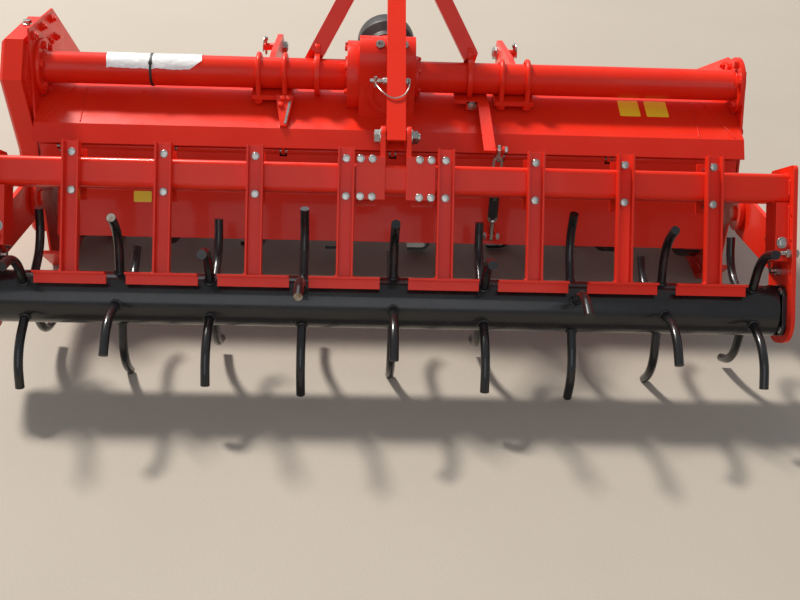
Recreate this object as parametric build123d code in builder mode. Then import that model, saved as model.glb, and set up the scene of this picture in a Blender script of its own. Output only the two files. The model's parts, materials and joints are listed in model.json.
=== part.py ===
"""Rotary tiller with a side gear case, a rear levelling board and a spiked roller.

Millimetres. +X is the machine's right, +Y its travel and +Z up. The origin is on the floor,
under the middle of the machine's box. In the sketches, lengths along the machine are measured
from the roller's axis, widths from the middle of the working width and heights from the floor.
"""

import os
from math import atan2, cos, degrees, hypot, radians, sin, sqrt

from build123d import *

os.makedirs("parts", exist_ok=True)

# Fits
running = 0.05
pin_side_gap = 1.0
swing_gap = 5.0
cut_over = 1.0
stub_end_gap = 2.0

# Roller: tube, stubs and hooked spikes
roller_tube_r = 63.5
roller_tube_wall = 6.0
roller_end_inset = 4.0
roller_end_t = 12.0
stub_r = 20.0
spike_r = 11.0
spike_shank = 108.0
spike_bend_r = 110.0
spike_bend = 55.0
spike_toe = 30.0
spikes_round = 4
station_inset = 61.0
# One tip of each station, in degrees above straight ahead, from the left
station_turns = (38, 0, 28, 52, 0, 31, 60, 0, 20)

# Roller frame, which leans forward: across is measured along the lean's normal
frame_lean = 33.0
beam_size = 70.0
beam_wall = 5.0
beam_corner_r = 12.0
beam_rear = -64.0
beam_top = 333.0
cheek_t = 10.0
cheek_rear = -90.0
cheek_front = 65.0
cheek_bottom = -80.0
cheek_top = 352.0
cheek_toe_r = 60.0
cheek_crown_r = 14.0
cheek_hole_r = 5.0
cheek_hole_inset = 13.0
cheek_hole_heights = (168.0, 228.0)
post_width = 32.0
post_bottom = 120.0

# Roller bearings
bearing_size = 124.0
bearing_t = 11.0
bearing_corner_r = 26.0
bearing_hub_r = 36.0
bearing_cap_out = 13.0

# Scrapers: channel bars with a blade across the foot
scraper_out = 11.0
scraper_draw_in = 4.0
scraper_width = 40.0
scraper_depth = 26.0
scraper_wall = 5.0
scraper_top = 369.0
scraper_foot = 61.0
blade_length = 170.0
blade_height = 29.0
blade_t = 6.0

# Arms that carry the roller frame, and their pivot on the tiller
pivot_y = 355.0
pivot_z = 311.0
pivot_r = 15.0
arm_t = 12.0
arm_half = 59.0
arm_heel_top = (121.0, 405.0)
arm_heel_bottom = (57.0, 306.0)
ear_t = 14.0
ear_r = 46.0
ear_lap = 60.0
pin_head_t = 5.0

# Clevis on the beam and the telescopic link to the headstock
link_x = -1.0
link_gap = 50.0
link_foot_y = 188.0
link_foot_z = 590.0
link_head_y = 740.0
link_head_z = 951.0
link_outer_size = 46.0
link_outer_wall = 4.0
link_outer_length = 432.0
link_outer_tail = 22.0
link_inner_wall = 4.0
link_inner_start = 106.0
link_slide_gap = 1.0
link_pin_r = 12.0
link_eye_gap = 7.0
lock_pin_at = 160.0
lock_pin_r = 8.0
lock_slot_reach = 90.0
lug_t = 12.0
lug_r = 26.0
clevis_pad_t = 8.0
clevis_pad_width = 70.0
clevis_pad_over = 17.0

# Drive tube and gearbox
tube_r = 41.5
tube_wall = 7.0
tube_y = 585.0
tube_z = 584.0
tube_flange_r = 76.0
tube_flange_t = 12.0
tube_seat_r = 55.0
gearbox_left = -92.0
gearbox_right = 54.0
gearbox_rear = 497.0
gearbox_front = 690.0
gearbox_bottom = 500.0
gearbox_top = 705.0
gearbox_corner_r = 14.0
gearbox_shoulder_r = 64.0
gearbox_ring_x = -15.0
gearbox_ring_z = 572.0
gearbox_ring_r = 62.0
gearbox_ring_t = 6.0
gearbox_seat_gap = 0.5
coupling_width = 33.0
coupling_r = 92.0
coupling_step = 14.0
input_x = -18.0
input_z = 590.0
nose_r = 55.0
nose_front = 745.0
shaft_r = 17.5
shaft_front = 852.0
shaft_collar_front = 765.0
splines = 6
spline_width = 8.7
spline_root_r = 14.9
spline_chamfer = 1.5
shaft_seat = 20.0
guard_r = 81.5
guard_front = 830.0
guard_wall = 3.0
guard_overlap = 12.0
guard_neck = 10.0
guard_flare = 20.0
guard_fillet_r = 8.0

# Side plates, gear case and skids
plate_inner_x = 944.0
plate_t = 6.0
plate_front_y = 1140.0
plate_rear_y = 425.0
# Upper outline of each side plate, from the rear: length along the machine, height
left_plate_top = ((425, 330), (452, 425), (523, 713), (763, 683), (1030, 440), (1140, 383))
right_plate_top = ((425, 330), (452, 425), (548, 638), (710, 617), (1028, 446), (1140, 383))
skid_t = 10.0
skid_width = 56.0
skid_heel_y = 520.0
skid_toe_y = 1022.0
case_stand_off = 7.0
case_width = 58.0
case_chamfer = 10.0
# Outline of the gear case, from its upper rear corner: length along the machine, height
case_outline = (
    (433, 606),
    (505, 690),
    (735, 668),
    (800, 590),
    (905, 330),
    (900, 190),
    (800, 80),
    (620, 70),
    (505, 120),
    (478, 187),
    (497, 372),
)
case_boss_inset = 22.0

# Hood and rear board
hood_t = 6.0
hood_fold = (441.0, 488.0)
hood_lip = 16.0
hinge_y = 422.0
hinge_z = 432.0
hinge_rod_r = 6.0
knuckle_r = 10.0
board_end_gap = 45.0
board_t = 5.0
board_crease = (372.0, 330.0)
board_foot = (308.0, 225.0)
hinge_lug_t = 10.0
hinge_lug_inset = 15.0
hinge_lugs = 7

# Rotor
rotor_y = 700.0
rotor_z = 250.0
rotor_tube_r = 38.0
rotor_tube_wall = 8.0
rotor_end_gap = 28.0
rotor_stub_r = 25.0
flange_r = 95.0
flange_t = 10.0
flange_inset = 62.0
flanges = 8
blades_round = 6
blade_step = 11.0
tine_t = 8.0
tine_width = 54.0
tine_leg = 62.0
tine_bend_r = 22.0
tine_root = 55.0
tine_reach = 239.0
hub_r = 62.0
hub_t = 24.0
hub_cap_t = 4.0

# Lower hitch, chain arms and headstock
hitch_x = 341.5
hitch_y = 985.0
hitch_z = 505.0
hitch_pin_r = 11.0
hitch_pin_length = 45.0
hitch_pin_inner = 14.0
hitch_plate_t = 16.0
hitch_plate_gap = 2.0
hitch_plate_top = 600.0
hitch_brow = (720.0, 592.0)
hitch_belly = (925.0, 482.0)
hitch_foot_front = 762.0
hitch_eye_r = 38.0
saddle_inner_x = 274.0
saddle_outer_x = 381.0
saddle_t = 12.0
saddle_rear = 526.0
saddle_front = 646.0
u_bolt_r = 7.0
u_bolt_pitch = 70.0
chain_x = 265.0
chain_arm_width = 30.0
chain_arm_seat = 44.0
chain_arm_t = 8.0
chain_arm_top = 546.0
chain_arm_end = 520.0
chain_top_y = 288.0
chain_top_z = 514.0
chain_foot_z = 262.0
chain_bar = 7.0
chain_link_r = 6.0
chain_link_length = 16.0
chain_top_link_length = 20.0
chain_top_ring_length = 30.0
chain_seat_gap = 0.3
chain_pin_r = 5.0
chain_ring_r = 6.5
chain_ring_length = 44.0
chain_sleeve_r = 12.5
chain_eye_gap = 18.0
chain_eye_t = 5.0
chain_eye_r = 10.0
hood_bracket_x = 291.0
hood_bracket_head = 48.0
hood_bracket_foot = 17.0
mast_t = 12.0
mast_margin = 33.0
mast_eye_r = 30.0
top_link_y = 802.0
top_link_z = 965.0
top_link_bore_r = 9.65
brace_foot_x = 206.0
brace_foot_z = 640.0
brace_foot_y = 612.0
brace_head_x = 52.0
brace_head_z = 900.0
brace_head_y = 746.0
brace_width = 42.0
brace_t = 24.0
brace_ring_r = 56.0
brace_ring_t = 14.0

# Worked out from the sizes above
bend = radians(spike_bend)
tip_along = spike_shank + (spike_bend_r + spike_r) * sin(bend) + spike_toe * cos(bend)
tip_across = spike_bend_r - (spike_bend_r + spike_r) * cos(bend) + spike_toe * sin(bend)
tip_r = hypot(tip_along, tip_across)
tip_lead = degrees(atan2(tip_across, tip_along))
roller_z = tip_r
stations = len(station_turns)
plate_outer_x = plate_inner_x + plate_t
frame_inner_x = plate_inner_x + pin_side_gap + arm_t
cheek_outer_x = frame_inner_x + cheek_t
bearing_outer_x = cheek_outer_x + bearing_cap_out
bearing_inner_x = frame_inner_x - bearing_t
roller_tube_half = bearing_inner_x - swing_gap
station_pitch = 2 * (roller_tube_half - station_inset) / (stations - 1)
case_inner_x = plate_outer_x + case_stand_off
case_outer_x = case_inner_x + case_width
board_half = plate_inner_x - ear_t - board_end_gap
hinge_lug_pitch = 2 * (board_half - hinge_lug_inset) / (hinge_lugs - 1)
rotor_tube_half = plate_inner_x - rotor_end_gap
flange_pitch = 2 * (rotor_tube_half - flange_inset) / (flanges - 1)
skid_nose_y = plate_front_y + skid_t * sin(radians(45))
centre_x = (case_outer_x - bearing_outer_x) / 2
roller_y = (tip_r - skid_nose_y) / 2
link_lean = degrees(atan2(link_head_z - link_foot_z, link_head_y - link_foot_y))
link_length = hypot(link_head_z - link_foot_z, link_head_y - link_foot_y)
link_inner_size = link_outer_size - 2 * link_outer_wall - 2 * link_slide_gap
hood_line = (
    (hinge_y - hood_lip, hinge_z + hood_lip),
    hood_fold,
    (596.0, 527.0),
    (700.0, 527.0),
    (775.0, 500.0),
    (930.0, 440.0),
    (1000.0, 350.0),
    (1005.0, 300.0),
)


def side(x, y=0.0, z=0.0):
    """Vertical plane along the machine: sketches run forward and up, and extrude to the right."""
    return Plane(origin=(centre_x + x, roller_y + y, z), x_dir=(0, 1, 0), z_dir=(1, 0, 0))


def leaning(x):
    """Plane of the roller frame at its axis: sketches run across the lean and up along it."""
    lean = radians(frame_lean)
    return Plane(
        origin=(centre_x + x, roller_y, roller_z),
        x_dir=(0, cos(lean), -sin(lean)),
        z_dir=(1, 0, 0),
    )


def linked(x):
    """Plane of the telescopic link at its foot: sketches run along the link and above it."""
    lean = radians(link_lean)
    return Plane(
        origin=(centre_x + x, roller_y + link_foot_y, link_foot_z),
        x_dir=(0, cos(lean), sin(lean)),
        z_dir=(1, 0, 0),
    )


def behind(y):
    """Vertical plane across the machine: sketches run right and up, and extrude to the rear."""
    return Plane(origin=(centre_x, roller_y + y, 0), x_dir=(1, 0, 0), z_dir=(0, -1, 0))


def save(built, name):
    """Label one finished piece and write it to its own file."""
    built.part.label = name
    export_step(built.part, f"parts/{name}.step")


# Roller
with BuildPart() as spike:
    with BuildLine(Plane.YZ) as spike_line:
        shank = Line((roller_tube_r - roller_tube_wall, 0), (spike_shank, 0))
        hook = JernArc(shank @ 1, shank % 1, spike_bend_r, spike_bend)
        Line(hook @ 1, hook @ 1 + (hook % 1) * spike_toe)
    with BuildSketch(Plane(spike_line.line @ 0, z_dir=spike_line.line % 0)):
        Circle(spike_r)
    sweep()

with BuildPart() as roller_tube:
    with BuildSketch(side(-roller_tube_half, z=roller_z)):
        Circle(roller_tube_r)
        Circle(roller_tube_r - roller_tube_wall, mode=Mode.SUBTRACT)
    extrude(amount=2 * roller_tube_half)
    for station, turn in enumerate(station_turns):
        station_x = centre_x + (station - (stations - 1) / 2) * station_pitch
        for n in range(spikes_round):
            angle = turn - tip_lead + n * 360 / spikes_round
            with Locations(Location((station_x, roller_y, roller_z), (angle, 0, 0))):
                add(spike.part)
save(roller_tube, "roller_tube")

with BuildPart() as roller_ends:
    for hand in (-1, 1):
        with BuildSketch(side(hand * (roller_tube_half - roller_end_inset), z=roller_z)):
            Circle(roller_tube_r - roller_tube_wall - running)
        extrude(amount=-hand * roller_end_t)
        with BuildSketch(side(hand * (roller_tube_half - roller_end_inset), z=roller_z)):
            Circle(stub_r)
        extrude(amount=hand * (cheek_outer_x + roller_end_inset - roller_tube_half))
save(roller_ends, "roller_ends")

with BuildPart() as roller_bearings:
    for hand in (-1, 1):
        with BuildSketch(leaning(hand * bearing_inner_x)):
            RectangleRounded(bearing_size, bearing_size, bearing_corner_r)
        extrude(amount=hand * bearing_t)
        with BuildSketch(leaning(hand * bearing_inner_x)):
            Circle(bearing_hub_r)
        extrude(amount=hand * (bearing_outer_x - bearing_inner_x))
        with BuildSketch(leaning(hand * bearing_inner_x)):
            Circle(stub_r + running)
        extrude(amount=hand * (cheek_outer_x + stub_end_gap - bearing_inner_x), mode=Mode.SUBTRACT)
save(roller_bearings, "roller_bearings")

# Roller frame
with BuildPart() as beam:
    with BuildSketch(leaning(-frame_inner_x)):
        with Locations((beam_rear + beam_size / 2, beam_top - beam_size / 2)):
            RectangleRounded(beam_size, beam_size, beam_corner_r)
            inside = beam_size - 2 * beam_wall
            RectangleRounded(inside, inside, beam_corner_r - beam_wall, mode=Mode.SUBTRACT)
    extrude(amount=2 * frame_inner_x)
save(beam, "beam")

with BuildPart() as cheeks:
    for hand in (-1, 1):
        with BuildSketch(leaning(hand * frame_inner_x)) as cheek:
            middle = ((cheek_front + cheek_rear) / 2, (cheek_top + cheek_bottom) / 2)
            with Locations(middle):
                Rectangle(cheek_front - cheek_rear, cheek_top - cheek_bottom)
            fillet(cheek.vertices().group_by(Axis.Y)[0], cheek_toe_r)
            fillet(cheek.vertices().group_by(Axis.Y)[-1], cheek_crown_r)
            Circle(bearing_hub_r, mode=Mode.SUBTRACT)
            with Locations(*[(cheek_rear + cheek_hole_inset, height) for height in cheek_hole_heights]):
                Circle(cheek_hole_r, mode=Mode.SUBTRACT)
        extrude(amount=hand * cheek_t)
save(cheeks, "roller_side_plates")

with BuildPart() as posts:
    for hand in (-1, 1):
        with BuildSketch(leaning(hand * (frame_inner_x - post_width))):
            post_top = beam_top - beam_size
            with Locations((beam_rear + beam_size / 2, (post_top + post_bottom) / 2)):
                Rectangle(beam_size, post_top - post_bottom)
        extrude(amount=hand * post_width)
save(posts, "posts")

with BuildPart() as arms:
    arm_heel = ((arm_heel_top[0] + arm_heel_bottom[0]) / 2, (arm_heel_top[1] + arm_heel_bottom[1]) / 2)
    arm_run = hypot(pivot_y - arm_heel[0], pivot_z - arm_heel[1])
    rise = (arm_half * (arm_heel[1] - pivot_z) / arm_run, arm_half * (pivot_y - arm_heel[0]) / arm_run)
    for hand in (-1, 1):
        with BuildSketch(side(hand * (frame_inner_x - arm_t))):
            Polygon(
                arm_heel_top,
                (pivot_y + rise[0], pivot_z + rise[1]),
                (pivot_y - rise[0], pivot_z - rise[1]),
                arm_heel_bottom,
                align=None,
            )
            with Locations((pivot_y, pivot_z)):
                Circle(arm_half)
                Circle(pivot_r + running, mode=Mode.SUBTRACT)
        extrude(amount=hand * arm_t)
save(arms, "arms")

with BuildPart() as scrapers:
    bays = stations - 1
    for bay in range(bays):
        bay_from_middle = bay - (bays - 1) / 2
        bay_x = bay_from_middle * station_pitch
        hand = 1 if bay_x > 0 else -1
        bar_x = bay_from_middle * (station_pitch - scraper_draw_in) + hand * scraper_out
        with BuildSketch(leaning(bar_x - scraper_width / 2)):
            with Locations((beam_rear, scraper_foot)):
                Rectangle(scraper_depth, scraper_top - scraper_foot, align=(Align.MAX, Align.MIN))
        extrude(amount=scraper_width)
        with BuildSketch(leaning(bar_x - scraper_width / 2 + scraper_wall)):
            with Locations((beam_rear - scraper_wall, scraper_foot)):
                Rectangle(scraper_depth, scraper_top - scraper_foot, align=(Align.MAX, Align.MIN))
        extrude(amount=scraper_width - 2 * scraper_wall, mode=Mode.SUBTRACT)
        with BuildSketch(leaning(bar_x - blade_length / 2)):
            with Locations((beam_rear, scraper_foot)):
                Rectangle(blade_t, blade_height, align=(Align.MAX, Align.MAX))
                Rectangle(scraper_depth, blade_t, align=(Align.MAX, Align.MAX))
        extrude(amount=blade_length)
save(scrapers, "scrapers")

with BuildPart() as link_clevis:
    foot = (link_foot_y, link_foot_z - roller_z)
    lean = radians(frame_lean)
    foot_across = foot[0] * cos(lean) - foot[1] * sin(lean)
    foot_up = foot[0] * sin(lean) + foot[1] * cos(lean)
    beam_bottom = beam_top - beam_size
    for hand in (-1, 1):
        lug_x = link_x + hand * link_gap / 2
        with BuildSketch(leaning(lug_x)):
            Polygon(
                (beam_rear - clevis_pad_t, beam_bottom - clevis_pad_over),
                (beam_rear, beam_bottom - clevis_pad_over),
                (beam_rear, beam_top),
                (beam_rear + beam_size, beam_top),
                (foot_across + lug_r, foot_up),
                (foot_across - lug_r, foot_up),
                (beam_rear - clevis_pad_t, beam_top),
                align=None,
            )
            with Locations((foot_across, foot_up)):
                Circle(lug_r)
        extrude(amount=hand * lug_t)
        with BuildSketch(leaning(lug_x)):
            with Locations((beam_rear, (beam_bottom + beam_top) / 2)):
                pad_height = beam_size + 2 * clevis_pad_over
                Rectangle(clevis_pad_t, pad_height, align=(Align.MAX, Align.CENTER))
        extrude(amount=hand * clevis_pad_width)
    with BuildSketch(leaning(link_x - link_gap / 2 - lug_t - pin_head_t)):
        with Locations((foot_across, foot_up)):
            Circle(link_pin_r)
    extrude(amount=link_gap + 2 * lug_t + 2 * pin_head_t)
save(link_clevis, "link_clevis")

# Telescopic link
with BuildPart() as link_outer:
    with BuildSketch(linked(link_x - link_outer_size / 2)):
        with Locations((-link_outer_tail, 0)):
            Rectangle(link_outer_length + link_outer_tail, link_outer_size, align=(Align.MIN, Align.CENTER))
    extrude(amount=link_outer_size)
    with BuildSketch(linked(link_x - link_outer_size / 2 + link_outer_wall)):
        opening = link_outer_size - 2 * link_outer_wall
        with Locations((-link_outer_tail, 0)):
            Rectangle(link_outer_length + link_outer_tail, opening, align=(Align.MIN, Align.CENTER))
    extrude(amount=link_outer_size - 2 * link_outer_wall, mode=Mode.SUBTRACT)
    with BuildSketch(linked(link_x - link_outer_size / 2)):
        Circle(link_pin_r + link_eye_gap)
    extrude(amount=link_outer_size, mode=Mode.SUBTRACT)
    with BuildSketch(linked(link_x - link_outer_size / 2)):
        with Locations((lock_pin_at, 0)):
            Circle(lock_pin_r)
    extrude(amount=link_outer_size, mode=Mode.SUBTRACT)
save(link_outer, "link_outer")

with BuildPart() as link_inner:
    inner_end = link_length - link_inner_size / 2
    with BuildSketch(linked(link_x - link_inner_size / 2)):
        with Locations((link_inner_start, 0)):
            Rectangle(inner_end - link_inner_start, link_inner_size, align=(Align.MIN, Align.CENTER))
        with Locations((inner_end, 0)):
            Rectangle(link_inner_size / 2, link_inner_size, align=(Align.MIN, Align.CENTER))
        with Locations((link_length, 0)):
            Circle(link_inner_size / 2)
    extrude(amount=link_inner_size)
    with BuildSketch(linked(link_x - link_inner_size / 2 + link_inner_wall)):
        bore = link_inner_size - 2 * link_inner_wall
        with Locations((link_inner_start, 0)):
            Rectangle(inner_end - link_inner_size - link_inner_start, bore, align=(Align.MIN, Align.CENTER))
    extrude(amount=link_inner_size - 2 * link_inner_wall, mode=Mode.SUBTRACT)
    with BuildSketch(linked(link_x - link_inner_size / 2)):
        slot_start = link_inner_start + 2 * link_inner_wall
        slot_end = lock_pin_at + lock_slot_reach + lock_pin_r
        with Locations(((slot_start + slot_end) / 2, 0)):
            SlotOverall(slot_end - slot_start, 2 * lock_pin_r + 2 * pin_side_gap)
        with Locations((link_length, 0)):
            Circle(link_pin_r + running)
    extrude(amount=link_inner_size, mode=Mode.SUBTRACT)
save(link_inner, "link_inner")

with BuildPart() as lock_pin:
    with BuildSketch(linked(link_x - link_outer_size / 2 - 2 * pin_head_t)):
        with Locations((lock_pin_at, 0)):
            Circle(lock_pin_r)
    extrude(amount=link_outer_size + 4 * pin_head_t)
save(lock_pin, "lock_pin")

# Drive tube and gearbox
with BuildPart() as left_tube:
    with BuildSketch(side(-plate_inner_x, tube_y, tube_z)):
        Circle(tube_r)
    extrude(amount=plate_inner_x + gearbox_left - coupling_width)
    with BuildSketch(side(-plate_inner_x, tube_y, tube_z)):
        Circle(tube_flange_r)
    extrude(amount=tube_flange_t)
    with BuildSketch(side(-plate_inner_x, tube_y, tube_z)):
        Circle(tube_r - tube_wall)
    extrude(amount=plate_inner_x + gearbox_left - coupling_width, mode=Mode.SUBTRACT)
save(left_tube, "left_tube")

with BuildPart() as right_tube:
    with BuildSketch(side(gearbox_right, tube_y, tube_z)):
        Circle(tube_r)
    extrude(amount=plate_inner_x - gearbox_right)
    for flange_x, r, reach in (
        (gearbox_right, tube_seat_r, tube_flange_t),
        (plate_inner_x, tube_flange_r, -tube_flange_t),
    ):
        with BuildSketch(side(flange_x, tube_y, tube_z)):
            Circle(r)
        extrude(amount=reach)
    with BuildSketch(side(gearbox_right, tube_y, tube_z)):
        Circle(tube_r - tube_wall)
    extrude(amount=plate_inner_x - gearbox_right, mode=Mode.SUBTRACT)
save(right_tube, "right_tube")

with BuildPart() as gearbox:
    with BuildSketch(side(gearbox_left)) as housing:
        with Locations((gearbox_rear, gearbox_bottom)):
            height = gearbox_top - gearbox_bottom
            Rectangle(gearbox_front - gearbox_rear, height, align=(Align.MIN, Align.MIN))
        crown = housing.vertices().group_by(Axis.Y)[-1].sort_by(Axis.X)
        fillet(crown[0], gearbox_shoulder_r)
        fillet(crown[-1], gearbox_corner_r)
    extrude(amount=gearbox_right - gearbox_left)
    with BuildSketch(behind(nose_front)):
        with Locations((input_x, input_z)):
            Circle(nose_r)
    extrude(amount=nose_front - gearbox_front)
    with BuildSketch(behind(gearbox_rear)):
        with Locations((gearbox_ring_x, gearbox_ring_z)):
            Circle(gearbox_ring_r)
    extrude(amount=gearbox_ring_t)
    with BuildSketch(behind(nose_front)):
        with Locations((input_x, input_z)):
            Circle(shaft_r + running)
    extrude(amount=shaft_seat + cut_over, mode=Mode.SUBTRACT)
save(gearbox, "gearbox")

with BuildPart() as gearbox_coupling:
    for start, r in (
        (gearbox_left - coupling_width, coupling_r),
        (gearbox_left - coupling_width / 2, coupling_r - coupling_step),
    ):
        with BuildSketch(side(start, tube_y, tube_z)):
            Circle(r)
        extrude(amount=gearbox_left - start)
save(gearbox_coupling, "gearbox_coupling")

with BuildPart() as input_shaft:
    with BuildSketch(behind(shaft_front)):
        with Locations((input_x, input_z)):
            Circle(shaft_r)
    extrude(amount=shaft_front - nose_front + shaft_seat)
    chamfer(input_shaft.faces().sort_by(Axis.Y)[-1].edges(), spline_chamfer)
    with BuildSketch(behind(shaft_front)):
        with Locations((input_x, input_z)):
            Circle(shaft_r + cut_over)
            Circle(spline_root_r, mode=Mode.SUBTRACT)
            with PolarLocations(0, splines):
                Rectangle(2 * shaft_r, spline_width, align=(Align.MIN, Align.CENTER), mode=Mode.SUBTRACT)
    extrude(amount=shaft_front - shaft_collar_front, mode=Mode.SUBTRACT)
save(input_shaft, "input_shaft")

with BuildPart() as input_guard:
    with BuildSketch(side(input_x, nose_front, input_z)):
        with BuildLine():
            FilletPolyline(
                (-guard_overlap, nose_r + guard_wall),
                (guard_neck, nose_r + guard_wall),
                (guard_neck + guard_flare, guard_r),
                (guard_front - nose_front, guard_r),
                radius=guard_fillet_r,
            )
            offset(amount=guard_wall, side=Side.RIGHT)
        make_face()
    revolve(axis=Axis((centre_x + input_x, roller_y, input_z), (0, 1, 0)))
save(input_guard, "input_guard")

# Side plates, gear case and skids
skid_line = (
    (plate_rear_y, skid_t + skid_heel_y - plate_rear_y),
    (skid_heel_y, skid_t),
    (skid_toe_y, skid_t),
    (plate_front_y, skid_t + plate_front_y - skid_toe_y),
)
for hand, plate_name, plate_top in (
    (-1, "left_plate", left_plate_top),
    (1, "right_plate", right_plate_top),
):
    with BuildPart() as side_plate:
        with BuildSketch(side(hand * plate_inner_x)):
            Polygon(*skid_line, *reversed(plate_top), align=None)
            with Locations((rotor_y, rotor_z)):
                Circle(rotor_stub_r + swing_gap, mode=Mode.SUBTRACT)
        extrude(amount=hand * plate_t)
    save(side_plate, plate_name)

with BuildPart() as skids:
    for hand in (-1, 1):
        with BuildSketch(side(hand * (plate_inner_x + plate_t / 2 - skid_width / 2))):
            with BuildLine():
                Polyline(*skid_line)
                offset(amount=skid_t, side=Side.RIGHT, kind=Kind.INTERSECTION)
            make_face()
        extrude(amount=hand * skid_width)
save(skids, "skids")

with BuildPart() as gear_case:
    with BuildSketch(side(-case_inner_x)):
        Polygon(*case_outline, align=None)
    extrude(amount=-case_width)
    chamfer(gear_case.faces().sort_by(Axis.X)[0].edges(), case_chamfer)
    with BuildSketch(side(-plate_outer_x)):
        Polygon(*case_outline, align=None)
        offset(amount=-case_boss_inset, kind=Kind.INTERSECTION)
    extrude(amount=-case_stand_off)
    with BuildSketch(side(-plate_outer_x, rotor_y, rotor_z)):
        Circle(rotor_stub_r + running)
    extrude(amount=-hub_t, mode=Mode.SUBTRACT)
save(gear_case, "gear_case")

with BuildPart() as rotor_hub:
    with BuildSketch(side(plate_outer_x, rotor_y, rotor_z)):
        Circle(hub_r)
    extrude(amount=hub_t)
    with BuildSketch(side(plate_outer_x, rotor_y, rotor_z)):
        Circle(rotor_stub_r + running)
    extrude(amount=hub_t - hub_cap_t, mode=Mode.SUBTRACT)
save(rotor_hub, "rotor_hub")

with BuildPart() as arm_ears:
    for hand in (-1, 1):
        with BuildSketch(side(hand * plate_inner_x, 0, pivot_z)):
            with Locations((pivot_y, 0)):
                Circle(ear_r)
                Rectangle(plate_rear_y + ear_lap - pivot_y, 2 * ear_r, align=(Align.MIN, Align.CENTER))
        extrude(amount=-hand * ear_t)
        with BuildSketch(side(hand * plate_inner_x, pivot_y, pivot_z)):
            Circle(pivot_r)
        extrude(amount=hand * (frame_inner_x - plate_inner_x + pin_head_t))
save(arm_ears, "arm_ears")

# Hood and rear board
with BuildPart() as hood:
    with BuildSketch(side(-plate_inner_x)):
        with BuildLine():
            Polyline(*hood_line)
            offset(amount=hood_t, side=Side.RIGHT, kind=Kind.INTERSECTION)
        make_face()
    extrude(amount=2 * plate_inner_x)
    with BuildSketch(Plane((centre_x, roller_y, gearbox_bottom - 2 * hood_t))):
        with Locations((gearbox_left - gearbox_seat_gap, gearbox_rear - gearbox_seat_gap)):
            Rectangle(
                gearbox_right - gearbox_left + 2 * gearbox_seat_gap,
                gearbox_front - gearbox_rear + 2 * gearbox_seat_gap,
                align=(Align.MIN, Align.MIN),
            )
    extrude(amount=gearbox_top - gearbox_bottom, mode=Mode.SUBTRACT)
    with BuildSketch(side(gearbox_left, tube_y, tube_z)):
        Circle(coupling_r + gearbox_seat_gap)
    extrude(amount=-coupling_width - gearbox_seat_gap, mode=Mode.SUBTRACT)
    for hand in (-1, 1):
        with BuildSketch(side(hand * plate_inner_x, tube_y, tube_z)):
            Circle(tube_flange_r + pin_side_gap)
        extrude(amount=-hand * (tube_flange_t + pin_side_gap), mode=Mode.SUBTRACT)
    for n in range(hinge_lugs):
        lug_mid = (n - (hinge_lugs - 1) / 2) * hinge_lug_pitch
        with BuildSketch(side(lug_mid - hinge_lug_t / 2)):
            with Locations((hinge_y, hinge_z)):
                Circle(knuckle_r)
            Polygon(
                (hinge_y - knuckle_r, hinge_z),
                (hinge_y - knuckle_r, hinge_z + hood_lip),
                (hood_fold[0], hood_fold[1] - hood_t),
                (hinge_y + knuckle_r, hinge_z),
                align=None,
            )
            with Locations((hinge_y, hinge_z)):
                Circle(hinge_rod_r, mode=Mode.SUBTRACT)
        extrude(amount=hinge_lug_t)
save(hood, "hood")

with BuildPart() as hinge_rod:
    with BuildSketch(side(-board_half, hinge_y, hinge_z)):
        Circle(hinge_rod_r)
    extrude(amount=2 * board_half)
save(hinge_rod, "hinge_rod")

with BuildPart() as rear_board:
    with BuildSketch(side(-board_half)):
        with BuildLine():
            Polyline((hinge_y - knuckle_r + board_t / 2, hinge_z - board_t), board_crease, board_foot)
            offset(amount=board_t, side=Side.LEFT, kind=Kind.INTERSECTION)
        make_face()
    extrude(amount=2 * board_half)
    for n in range(hinge_lugs - 1):
        knuckle_mid = (n - (hinge_lugs - 2) / 2) * hinge_lug_pitch
        knuckle_length = hinge_lug_pitch - hinge_lug_t - 2 * swing_gap
        with BuildSketch(side(knuckle_mid - knuckle_length / 2, hinge_y, hinge_z)):
            Circle(knuckle_r)
        extrude(amount=knuckle_length)
    with BuildSketch(side(-board_half, hinge_y, hinge_z)):
        Circle(hinge_rod_r + running)
    extrude(amount=2 * board_half, mode=Mode.SUBTRACT)
    for n in range(hinge_lugs):
        lug_mid = (n - (hinge_lugs - 1) / 2) * hinge_lug_pitch
        with BuildSketch(side(lug_mid - hinge_lug_t / 2 - swing_gap, hinge_y, hinge_z)):
            Circle(knuckle_r + swing_gap)
        extrude(amount=hinge_lug_t + 2 * swing_gap, mode=Mode.SUBTRACT)
    board_slope = (board_crease[0] - board_foot[0]) / (board_crease[1] - board_foot[1])
    for cheek_side in (-1, 1):
        with BuildSketch(side(chain_x + cheek_side * chain_eye_gap / 2)):
            low = chain_foot_z - chain_eye_r
            high = chain_foot_z + 2 * chain_eye_r
            Polygon(
                (chain_top_y, low),
                (board_foot[0] + board_slope * (low - board_foot[1]), low),
                (board_foot[0] + board_slope * (high - board_foot[1]), high),
                (chain_top_y, chain_foot_z + chain_eye_r),
                align=None,
            )
            with Locations((chain_top_y, chain_foot_z)):
                Circle(chain_eye_r)
        extrude(amount=cheek_side * chain_eye_t)
    with BuildSketch(side(chain_x - chain_eye_gap / 2, chain_top_y, chain_foot_z)):
        Circle(chain_pin_r)
    extrude(amount=chain_eye_gap)
save(rear_board, "rear_board")

# Rotor
with BuildPart() as tine:
    with BuildSketch(Plane.XZ.offset(-tine_width / 2)):
        with BuildLine():
            FilletPolyline(
                (0, tine_root),
                (0, tine_reach - tine_t / 2),
                (tine_leg, tine_reach - tine_t / 2),
                radius=tine_bend_r,
            )
            offset(amount=tine_t, side=Side.LEFT)
        make_face()
    extrude(amount=tine_width)

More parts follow.
